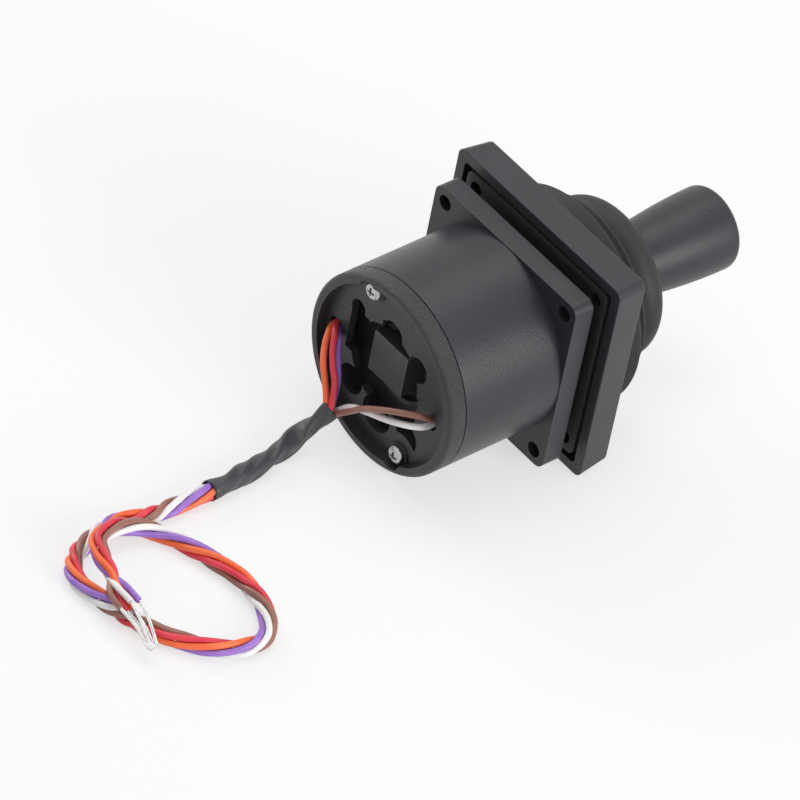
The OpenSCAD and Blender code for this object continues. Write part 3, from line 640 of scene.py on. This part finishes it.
print("handle with its mark", len(handle.data.polygons), "faces")

# %% [markdown]
# ## The bezel
# The bezel is a hollow square moulding with a round opening. It starts as a cube: the upright
# edges are bevelled, the front is drawn in a little for the draft, and the back is inset and
# pushed in to leave a rim. Then the faces where the opening goes are deleted, a ring of edges is
# added there, and two bridges close the shape again. Its long edges get a small bevel each,
# because a moulded edge is never sharp, and catches the light.

# %% Shape the bezel
BEZEL_W, BEZEL_LOW, BEZEL_HIGH, BEZEL_SEAT = 59.2, 3.8, 12.6, 6.35
BORE_R, RIM, FRONT_W = 26, 2.8, 57.6
OUTER_CORNER_R, INNER_CORNER_R = 2.2, 1.4
DRAFT = FRONT_W / BEZEL_W
rim_corner = (BEZEL_W / 2 - RIM) * math.sqrt(2)
bezel = block("square_bezel", BEZEL_W, BEZEL_W, BEZEL_LOW, BEZEL_HIGH)
bpy.ops.object.mode_set(mode="EDIT")
select_only(bezel, "faces", lambda face: face.normal.z < -0.9)
bpy.ops.mesh.inset(thickness=RIM * MM)
bpy.ops.mesh.extrude_region_move(
    TRANSFORM_OT_translate={"value": (0, 0, (BEZEL_SEAT - BEZEL_LOW) * MM)})
bpy.ops.mesh.delete(type="ONLY_FACE")
select_only(bezel, "edges",
            lambda e: upright(e) and abs(e.verts[0].co.x) > (BEZEL_W - RIM) / 2 * MM)
bpy.ops.mesh.bevel(offset=OUTER_CORNER_R * MM, segments=8)
select_only(bezel, "edges",
            lambda e: upright(e) and e.verts[0].co.xy.length < (rim_corner + 0.6) * MM)
bpy.ops.mesh.bevel(offset=INNER_CORNER_R * MM, segments=4)
select_only(bezel, "faces", lambda face: face.normal.z > 0.9)
bpy.ops.transform.resize(value=(DRAFT, DRAFT, 1))
bpy.ops.mesh.delete(type="ONLY_FACE")
bpy.ops.mesh.select_mode(type="EDGE")
bpy.ops.mesh.select_all(action="DESELECT")
bpy.ops.mesh.primitive_circle_add(vertices=96, radius=BORE_R * MM, fill_type="NOTHING",
                                  location=(0, 0, BEZEL_HIGH * MM))
bpy.ops.mesh.extrude_edges_move(
    TRANSFORM_OT_translate={"value": (0, 0, (BEZEL_SEAT - BEZEL_HIGH) * MM)})
for height in (BEZEL_SEAT, BEZEL_HIGH):
    select_only(bezel, "edges", lambda e: edge_at(height)(e) and len(e.link_faces) == 1)
    bpy.ops.mesh.bridge_edge_loops()
bpy.ops.mesh.select_all(action="SELECT")
bpy.ops.mesh.normals_make_consistent(inside=False)
print("bezel closed again")

# %% Round the bezel's long edges


def outside_edge(middle):
    """A point on the bezel's outer outline: near a side, or out in a corner."""
    near_side = max(abs(middle.x), abs(middle.y)) > (BORE_R + 1.5) * MM
    return near_side or middle.xy.length > (BORE_R + 8) * MM


def bore_edge(middle):
    return abs(middle.xy.length - BORE_R * MM) < 0.1 * MM


def real_corner(edge):
    return len(edge.link_faces) == 2 and edge.calc_face_angle(0) > math.radians(40)


for height, where, size in ((BEZEL_HIGH, outside_edge, 0.45), (BEZEL_LOW, outside_edge, 0.3),
                            (BEZEL_HIGH, bore_edge, 0.4)):
    found = select_only(bezel, "edges",
                        lambda e: edge_at(height, where)(e) and real_corner(e))
    bpy.ops.mesh.bevel(offset=size * MM, segments=3)
    print(f"bevelled {found} edges at height {height}")
bpy.ops.object.mode_set(mode="OBJECT")

# %% [markdown]
# Four blind holes hold the brass inserts. The cuts leave the flat faces in thin triangles, which
# would shade unevenly next to the bevels, so they are dissolved into large faces, and weighted
# normals let the large faces decide.

# %% Drill the bezel and even its shading
INSERT_HOLE_R, INSERT_HOLE_FROM, INSERT_HOLE_TO = 2.5, 5, 10.35
cut_round(bezel, CORNERS, INSERT_HOLE_R, INSERT_HOLE_FROM, INSERT_HOLE_TO)
bpy.ops.object.mode_set(mode="EDIT")
bpy.ops.mesh.select_all(action="SELECT")
bpy.ops.mesh.dissolve_limited(angle_limit=math.radians(0.3))
bpy.ops.object.mode_set(mode="OBJECT")
lay_down(bezel)
soft_shade(bezel, 30)
apply_modifier(bezel, "WEIGHTED_NORMAL", keep_sharp=True)
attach(bezel, "base")
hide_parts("bezel")
print("bezel", len(bezel.data.polygons), "faces")

# %% [markdown]
# ## The cover screws
# Two small pan-head screws hold the rear cover. The head is turned like the other round pieces,
# and its cross recess is cut by two crossed wedges. Each screw is turned on its own, so each has
# its own mesh.

# %% Make the two screws
SCREW_R, SCREW_ANGLES, HEAD_R, HEAD_H = 21, (-115, 66), 2.5, 1.6
HEAD_SEAT, SHANK_R, SHANK_END = -36.7, 1.3, -25.1
HEAD_RIM, HEAD_ROUND = 0.5, 0.6
RECESS_LEN, RECESS_W, RECESS_DEPTH, RECESS_TAPER, RECESS_TURN = 3.1, 0.75, 0.85, 0.55, 0.35
outline = [(AXIS_R, SHANK_END), (0.8, SHANK_END), (SHANK_R, SHANK_END - 0.8),
           (SHANK_R, HEAD_SEAT), (HEAD_R - 0.1, HEAD_SEAT), (HEAD_R, HEAD_SEAT - 0.15)]
outline += [(HEAD_R * math.cos(math.radians(a)) ** HEAD_ROUND,
             HEAD_SEAT - HEAD_RIM - (HEAD_H - HEAD_RIM) * math.sin(math.radians(a)))
            for a in range(0, 86, 9)]
outline += [(AXIS_R, HEAD_SEAT - HEAD_H)]
head_top = HEAD_SEAT - HEAD_H
screws = []
for number, angle in enumerate(SCREW_ANGLES):
    screw = turned(f"cover_screw_{number + 1}", outline, steps=64)
    merge_near(2 * AXIS_R * MM)
    bpy.ops.object.mode_set(mode="OBJECT")
    bpy.ops.object.transform_apply(location=True, rotation=True, scale=True)
    for width, depth in ((RECESS_W, RECESS_LEN), (RECESS_LEN, RECESS_W)):
        wedge = block("recess", width, depth, head_top - 0.3, head_top + RECESS_DEPTH)
        bpy.ops.object.mode_set(mode="EDIT")
        select_only(wedge, "faces", lambda face: face.normal.z > 0.9)
        bpy.ops.transform.resize(value=(RECESS_TAPER, RECESS_TAPER, 1))
        bpy.ops.object.mode_set(mode="OBJECT")
        apply_modifier(screw, "BOOLEAN", operation="DIFFERENCE", object=wedge, solver="EXACT")
        bpy.data.objects.remove(wedge)
    a = math.radians(angle)
    screw.rotation_euler.z = a + RECESS_TURN
    screw.location = Vector((math.cos(a), math.sin(a), 0)) * SCREW_R * MM
    lay_down(screw)
    soft_shade(screw, 30)
    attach(screw, "base")
    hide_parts("cover_screws")
    screws.append(screw)
print(len(screws), "screws")

# %% [markdown]
# ## The centring spring
# A conical wire spring inside the body pushes the stick upright. It joins the fixed plate to the
# collar on the shaft, and it is split in the middle as the boot is.

# %% Wind the two halves of the spring
WIRE_R, TURNS, POINTS = 0.45, 4, 90
# A power a little over 1 keeps the coils wide for longer, and so clear of the shaft
WIDE_FOR_LONGER = 1.1
# The halves meet between the two tilt directions, where neither tilt brings a coil to the
# plate or the shaft
SPLIT_AT = math.radians(135)
from_r, from_height, to_r, to_height = 9.6, -15.58, 6, -21.58
halves = [("spring_fixed_coils", 0, 0.5, "base", "gimbal", -15.5, -18.6),
          ("spring_moving_coils", 0.5, 1, "gimbal", "stick", -18.6, -21.6)]
springs = []
for name, begin, end, first, second, start_height, end_height in halves:
    share = np.linspace(begin, end, POINTS)
    turn = 2 * math.pi * TURNS * share + SPLIT_AT
    radius = from_r + (to_r - from_r) * share ** WIDE_FOR_LONGER
    height = from_height + (to_height - from_height) * share
    line = [at(r * math.cos(a), r * math.sin(a), h) for r, a, h in zip(radius, turn, height)]
    coil = to_mesh(curve_object(name, [np.array(line)], WIRE_R * MM))
    bpy.ops.object.shade_smooth()
    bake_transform(coil)
    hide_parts("centring_spring")
    springs.append(coil)
print("spring of", TURNS, "turns in", len(springs), "pieces")

# %% [markdown]
# ## Moulded edges on the body and the rear cover
# The housing, the rear cover and the sensor block have the right shape in CAD, but their edges
# are knife sharp. So each gets a copy: its loose triangles are merged, flat areas are dissolved
# into single faces, and a bevel modifier rounds every real edge.

# %% Round the edges of the moulded parts
TRIANGLE_GAP = 0.004 * MM
FLAT_ANGLE, BEVEL_ANGLE, SHADE_ANGLE = 0.5, 38, 30


def moulded_copy(node, name, width_mm, body):
    """A copy of a CAD node, with rounded edges, to be seen in its place."""
    copy = nodes[node].copy()
    copy.data = nodes[node].data.copy()
    copy.name = name
    copy.parent = None
    copy.matrix_world = Matrix.Identity(4)
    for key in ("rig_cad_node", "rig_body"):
        del copy[key]
    bpy.context.scene.collection.objects.link(copy)
    work_on(copy)
    bpy.ops.object.mode_set(mode="EDIT")
    bpy.ops.mesh.select_all(action="SELECT")
    bpy.ops.mesh.remove_doubles(threshold=TRIANGLE_GAP)
    bpy.ops.mesh.customdata_custom_splitnormals_clear()
    bpy.ops.mesh.dissolve_limited(angle_limit=math.radians(FLAT_ANGLE))
    bpy.ops.object.mode_set(mode="OBJECT")
    apply_modifier(copy, "BEVEL", width=width_mm * MM, segments=2, limit_method="ANGLE",
                   angle_limit=math.radians(BEVEL_ANGLE))
    soft_shade(copy, SHADE_ANGLE)
    apply_modifier(copy, "WEIGHTED_NORMAL", keep_sharp=True)
    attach(copy, body)
    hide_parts(node)
    return copy


cover = moulded_copy("rear_cover", "moulded_rear_cover", 0.22, "base")
housing = moulded_copy("housing", "moulded_housing", 0.22, "base")
sensor_block = moulded_copy("sensor_block", "moulded_sensor_block", 0.2, "base")
print("cover", len(cover.data.polygons), "and housing", len(housing.data.polygons), "faces")

# %% [markdown]
# Where the cover meets the body, the real one shows a fine dark line. A thin washer, turned at
# that height and taken out of the cover's edge, leaves such a groove.

# %% Cut the parting line
BODY_R, SEAM, GROOVE_DEPTH, GROOVE_W = 25.4, -34.1, 0.5, 0.3
washer_in, washer_out = BODY_R - GROOVE_DEPTH, BODY_R + 1
washer_low, washer_high = SEAM - GROOVE_W, SEAM + 0.05
washer = turned("washer", [(washer_in, washer_high), (washer_out, washer_high),
                           (washer_out, washer_low), (washer_in, washer_low),
                           (washer_in, washer_high)], steps=192)
lay_down(washer)
apply_modifier(cover, "BOOLEAN", operation="DIFFERENCE", object=washer, solver="EXACT")
bpy.data.objects.remove(washer)
soft_shade(cover, SHADE_ANGLE)
apply_modifier(cover, "WEIGHTED_NORMAL", keep_sharp=True)
print("cover with its groove", len(cover.data.polygons), "faces")

# %% [markdown]
# ## Finishes
# Almost everything here is black or dark grey plastic, and only its surface tells the pieces
# apart: the body is satin, the rear cover has a spark-eroded grain, the handle is smooth, the
# boot is matt. One function builds such a finish from two noises on the piece's own coordinates:
# a fine one for the grain and the gloss, and a broad one that changes the shade a little.

# %% Noises for a finish


def nodes_for(name):
    """A new material, its node tree's nodes and links, and its shader."""
    material = bpy.data.materials.new(name)
    material.use_nodes = True
    tree = material.node_tree
    return material, tree.nodes, tree.links, tree.nodes["Principled BSDF"]


def noise(made, links, coordinates, size_mm, detail=3.0):
    """A noise with marks about this size."""
    node = made.new("ShaderNodeTexNoise")
    node.inputs["Scale"].default_value = 1 / (size_mm * MM)
    node.inputs["Detail"].default_value = detail
    links.new(coordinates, node.inputs["Vector"])
    return node.outputs["Fac"]


def between(made, links, value, low, high):
    """A noise's value, which is seldom outside this range, stretched from low to high."""
    node = made.new("ShaderNodeMapRange")
    node.inputs["From Min"].default_value = 0.25
    node.inputs["From Max"].default_value = 0.75
    node.inputs["To Min"].default_value = low
    node.inputs["To Max"].default_value = high
    links.new(value, node.inputs["Value"])
    return node.outputs["Result"]


print("noises ready")

# %% [markdown]
# The cover's grain is only on the outside of its rim. The mask measures how far a point is from
# the stick's axis. The sensor block's edges get a painted highlight: a Bevel node rounds the
# normal near an edge, and where it turns away from the flat face's own normal, a paler colour is
# painted.

# %% Masks for the grain and the painted edge highlight
GRAIN_FADES, GRAIN_LEFT = 0.3, 0.12
# How well the two normals agree where the painted edge highlight starts, and where it is palest
HIGHLIGHT_STARTS, HIGHLIGHT_FULL = 0.97, 0.8


def outside(made, links, place, radius_mm):
    """1 where a point is further than a radius from the stick's axis, and little nearer to it."""
    from_axis = made.new("ShaderNodeVectorMath")
    from_axis.operation = "SUBTRACT"
    from_axis.inputs[1].default_value = flange_front
    links.new(place, from_axis.inputs[0])
    across = made.new("ShaderNodeVectorMath")
    across.operation = "CROSS_PRODUCT"
    across.inputs[1].default_value = stick_axis
    links.new(from_axis.outputs["Vector"], across.inputs[0])
    distance = made.new("ShaderNodeVectorMath")
    distance.operation = "LENGTH"
    links.new(across.outputs["Vector"], distance.inputs[0])
    mask = made.new("ShaderNodeMapRange")
    mask.inputs["From Min"].default_value = (radius_mm - GRAIN_FADES) * MM
    mask.inputs["From Max"].default_value = radius_mm * MM
    mask.inputs["To Min"].default_value = GRAIN_LEFT
    links.new(distance.outputs["Value"], mask.inputs["Value"])
    return mask.outputs["Result"]


def painted_edge_highlight(made, links, rounded, shade, painted_highlight_colour):
    """The shade, with a painted highlight in a paler colour where the rounded normal leaves the
    face's own.
    """
    agree = made.new("ShaderNodeVectorMath")
    agree.operation = "DOT_PRODUCT"
    links.new(rounded, agree.inputs[0])
    links.new(made.new("ShaderNodeNewGeometry").outputs["Normal"], agree.inputs[1])
    mask = made.new("ShaderNodeMapRange")
    mask.inputs["From Min"].default_value = HIGHLIGHT_STARTS
    mask.inputs["From Max"].default_value = HIGHLIGHT_FULL
    links.new(agree.outputs["Value"], mask.inputs["Value"])
    mixed = made.new("ShaderNodeMix")
    mixed.data_type = "RGBA"
    links.new(mask.outputs["Result"], mixed.inputs["Factor"])
    links.new(shade, mixed.inputs["A"])
    mixed.inputs["B"].default_value = (*painted_highlight_colour, 1)
    return mixed.outputs["Result"]


print("masks ready")

# %% A moulded finish
SPECULAR = 0.4


def finish(name, dark, light, gloss, grain_mm, grain_depth_mm, edge_mm=0.0, metallic=0.0,
           patch_mm=14, grained_beyond_mm=None, painted_highlight_colour=None):
    """A finish with a grain. gloss is its lowest and highest roughness."""
    material, made, links, shader = nodes_for(name)
    place = made.new("ShaderNodeTexCoord").outputs["Object"]
    patches = noise(made, links, place, patch_mm, 4)
    grain = noise(made, links, place, grain_mm)
    shades = made.new("ShaderNodeMix")
    shades.data_type = "RGBA"
    shades.inputs["A"].default_value = (*dark, 1)
    shades.inputs["B"].default_value = (*light, 1)
    links.new(between(made, links, patches, 0, 1), shades.inputs["Factor"])
    shade = shades.outputs["Result"]
    links.new(between(made, links, grain, *gloss), shader.inputs["Roughness"])
    bump = made.new("ShaderNodeBump")
    bump.inputs["Distance"].default_value = grain_depth_mm * MM
    links.new(grain, bump.inputs["Height"])
    if grained_beyond_mm:
        links.new(outside(made, links, place, grained_beyond_mm), bump.inputs["Strength"])
    if edge_mm:
        rounded = made.new("ShaderNodeBevel")
        rounded.samples = 4
        rounded.inputs["Radius"].default_value = edge_mm * MM
        links.new(rounded.outputs["Normal"], bump.inputs["Normal"])
    # A painted highlight: a paler colour near the edges, where the rounded normal turns away
    if painted_highlight_colour:
        shade = painted_edge_highlight(made, links, rounded.outputs["Normal"], shade, painted_highlight_colour)
    links.new(shade, shader.inputs["Base Color"])
    links.new(bump.outputs["Normal"], shader.inputs["Normal"])
    shader.inputs["Metallic"].default_value = metallic
    shader.inputs["Specular IOR Level"].default_value = SPECULAR
    return material


def paint(obj, material):
    obj.data.materials.clear()
    obj.data.materials.append(material)


print("finish ready")

# %% The plastics and the rubbers
body_plastic = finish("satin_body_plastic", (0.018, 0.019, 0.023), (0.026, 0.027, 0.032),
                      (0.3, 0.44), 0.45, 0.06)
cover_plastic = finish("grained_cover_plastic", (0.02, 0.021, 0.023), (0.034, 0.035, 0.038),
                       (0.3, 0.56), 0.5, 0.6, grained_beyond_mm=25.2)
bezel_plastic = finish("satin_bezel_plastic", (0.018, 0.019, 0.023), (0.026, 0.027, 0.032),
                       (0.32, 0.46), 0.45, 0.05)
handle_plastic = finish("smooth_handle_plastic", (0.02, 0.02, 0.025), (0.027, 0.027, 0.033),
                        (0.34, 0.46), 0.3, 0.02, patch_mm=5)
boot_rubber = finish("matt_boot_rubber", (0.011, 0.012, 0.013), (0.019, 0.019, 0.021),
                     (0.5, 0.68), 0.3, 0.015, patch_mm=5)
inner_plastic = finish("inner_plastic", (0.02, 0.02, 0.022), (0.03, 0.03, 0.033), (0.4, 0.55),
                       0.4, 0.02, edge_mm=0.2)
# The sensor block's edges get a painted highlight, a paler colour near them
block_plastic = finish("sensor_block_plastic", (0.035, 0.036, 0.039), (0.046, 0.047, 0.051),
                       (0.35, 0.5), 0.4, 0.02, edge_mm=0.45, painted_highlight_colour=(0.32, 0.33, 0.35))
sleeve_rubber = finish("shrunk_sleeve_rubber", (0.04, 0.041, 0.046), (0.055, 0.056, 0.062),
                       (0.36, 0.5), 0.5, 0.02, patch_mm=3)
print("dark finishes made")

# %% [markdown]
# The metals share the same function with the metallic switch on. Turned steel shows marks round
# its axis and drawn wire marks along it, but at this size a fine even grain reads well for both.

# %% The metals, the board and the chips
METALS = {
    "bright_zinc": ((0.34, 0.34, 0.35), (0.52, 0.52, 0.52), (0.08, 0.16), 0.5, 0.003),
    "machined_steel": ((0.45, 0.46, 0.48), (0.58, 0.59, 0.6), (0.28, 0.42), 0.25, 0.004),
    "drawn_spring_wire": ((0.3, 0.31, 0.33), (0.42, 0.43, 0.45), (0.3, 0.42), 0.2, 0.004),
    "sintered_bronze": ((0.45, 0.3, 0.12), (0.6, 0.42, 0.2), (0.4, 0.6), 0.15, 0.01),
    "turned_brass": ((0.62, 0.45, 0.18), (0.76, 0.58, 0.27), (0.22, 0.35), 0.25, 0.004),
    "plated_magnet": ((0.4, 0.4, 0.42), (0.5, 0.5, 0.52), (0.15, 0.25), 0.3, 0.002),
    "tinned_copper": ((0.6, 0.6, 0.6), (0.82, 0.82, 0.81), (0.22, 0.45), 0.35, 0.02),
}
metals = {name: finish(name, *values, metallic=1.0, patch_mm=3) for name, values in METALS.items()}
board_mask = finish("board_solder_mask", (0.006, 0.05, 0.02), (0.01, 0.075, 0.03), (0.25, 0.4),
                    0.6, 0.01)
chip_plastic = finish("chip_plastic", (0.01, 0.01, 0.011), (0.016, 0.016, 0.017), (0.5, 0.65),
                      0.2, 0.01)
print(len(metals), "metals")

# %% [markdown]
# Lead insulation is extruded, so it is smooth and a little waxy. Its colour is even, with faint
# paler stretches where it has been bent.

# %% The colours of the leads
INSULATION = {
    "violet": ((0.26, 0.12, 0.5), (0.38, 0.2, 0.62)),
    "white": ((0.78, 0.76, 0.75), (0.88, 0.87, 0.86)),
    "brown": ((0.24, 0.1, 0.07), (0.36, 0.17, 0.13)),
    "red": ((0.62, 0.03, 0.055), (0.78, 0.06, 0.09)),
    "orange": ((0.85, 0.12, 0.03), (0.92, 0.2, 0.07)),
}
for colour, (dark, light) in INSULATION.items():
    insulation = finish(colour + "_insulation", dark, light, (0.32, 0.42), 0.4, 0.006,
                        patch_mm=4)
    paint(leads[colour], insulation)
    paint(tips[colour], metals["tinned_copper"])
print(", ".join(INSULATION), "insulation")

# %% [markdown]
# ## Painting every piece
# The CAD nodes keep their shape and take a finish from this table, and the new pieces take
# theirs in the same way. The rounding in some finishes softens how a sharp CAD edge catches the
# light.

# %% Give each piece its finish
FINISHES = {
    "pivot_bushes": metals["sintered_bronze"],
    "spring_plate": metals["machined_steel"], "spacer_sleeve": inner_plastic,
    "sensor_board": board_mask, "field_sensors": chip_plastic, "sensor_carrier": inner_plastic,
    "gimbal_ring": metals["machined_steel"],
    "gimbal_pins": metals["machined_steel"], "pivot_hub": metals["machined_steel"],
    "cross_pin": metals["machined_steel"], "stick_shaft": metals["machined_steel"],
    "spring_collar": metals["machined_steel"], "collar_clip": metals["drawn_spring_wire"],
    "sense_magnet": metals["plated_magnet"], "handle_insert": metals["turned_brass"],
    "bezel_inserts": metals["turned_brass"],
}
for name, material in FINISHES.items():
    paint(nodes[name], material)
for obj in (boot_lower, boot_upper, boot_flange):
    paint(obj, boot_rubber)
for obj in screws:
    paint(obj, metals["bright_zinc"])
for obj in springs:
    paint(obj, metals["drawn_spring_wire"])
paint(housing, body_plastic)
paint(cover, cover_plastic)
paint(sensor_block, block_plastic)
paint(handle, handle_plastic)
paint(bezel, bezel_plastic)
paint(sleeve, sleeve_rubber)
print(len(FINISHES), "CAD nodes painted")

# %% [markdown]
# ## Floor and light
# The joystick lies on a white table in soft light. The floor keeps its shadow, but to the camera,
# and to what reflects in gloss and metal, it is mostly plain white.

# %% The floor
FLOOR_SIZE, FLOOR_WHITE, SKY_LIGHT = 8, 0.62, 0.5


def seen_or_mirrored(made, links):
    """1 for a ray from the camera, a gloss or a clear piece, and 0 for light on its way."""
    ray = made.new("ShaderNodeLightPath")
    rays = [ray.outputs[f"Is {kind} Ray"] for kind in ("Camera", "Glossy", "Transmission")]
    most = rays[0]
    for other in rays[1:]:
        either = made.new("ShaderNodeMath")
        either.operation = "MAXIMUM"
        links.new(most, either.inputs[0])
        links.new(other, either.inputs[1])
        most = either.outputs["Value"]
    return most


bpy.ops.object.select_all(action="DESELECT")
bpy.ops.mesh.primitive_plane_add(size=FLOOR_SIZE)
floor = bpy.context.object
floor.name = "table"
white, made, links, shader = nodes_for("white_table")
shader.inputs["Base Color"].default_value = (0.85, 0.85, 0.86, 1)
shader.inputs["Roughness"].default_value = 0.7
shader.inputs["Specular IOR Level"].default_value = 0.1
glow = made.new("ShaderNodeEmission")
glow.inputs["Color"].default_value = (1, 1, 1, 1)
glow.inputs["Strength"].default_value = 1.0
seen = made.new("ShaderNodeMath")
seen.operation = "MULTIPLY"
seen.inputs[1].default_value = FLOOR_WHITE
links.new(seen_or_mirrored(made, links), seen.inputs[0])
mix = made.new("ShaderNodeMixShader")
links.new(seen.outputs["Value"], mix.inputs["Fac"])
links.new(shader.outputs["BSDF"], mix.inputs[1])
links.new(glow.outputs["Emission"], mix.inputs[2])
links.new(mix.outputs["Shader"], made["Material Output"].inputs["Surface"])
paint(floor, white)

# %% The sky
world = bpy.data.worlds.new("studio")
world.use_nodes = True
bpy.context.scene.world = world
made, links = world.node_tree.nodes, world.node_tree.links
sky = made["Background"]
sky.inputs["Color"].default_value = (1, 1, 1, 1)
bright = made.new("ShaderNodeMath")
bright.operation = "MAXIMUM"
bright.inputs[1].default_value = SKY_LIGHT
links.new(seen_or_mirrored(made, links), bright.inputs[0])
links.new(bright.outputs["Value"], sky.inputs["Strength"])
print("white floor and sky")

# %% Lamps


def lamp(name, place, size, watts):
    """A square lamp that faces the middle of the body."""
    bpy.ops.object.light_add(type="AREA", location=place)
    obj = bpy.context.object
    obj.name = name
    obj.data.size = size
    obj.data.energy = watts
    obj.rotation_euler = (flange_front - Vector(place)).to_track_quat("-Z", "Y").to_euler()


lamp("lamp_above", (-0.2, 0.1, 1.0), 0.8, 3.5)
lamp("lamp_right", (1.0, 0.15, 0.4), 0.6, 8)
lamp("lamp_left", (-1.0, -0.1, 0.5), 0.5, 4)
bpy.context.scene.view_settings.view_transform = "Standard"
print("three lamps")
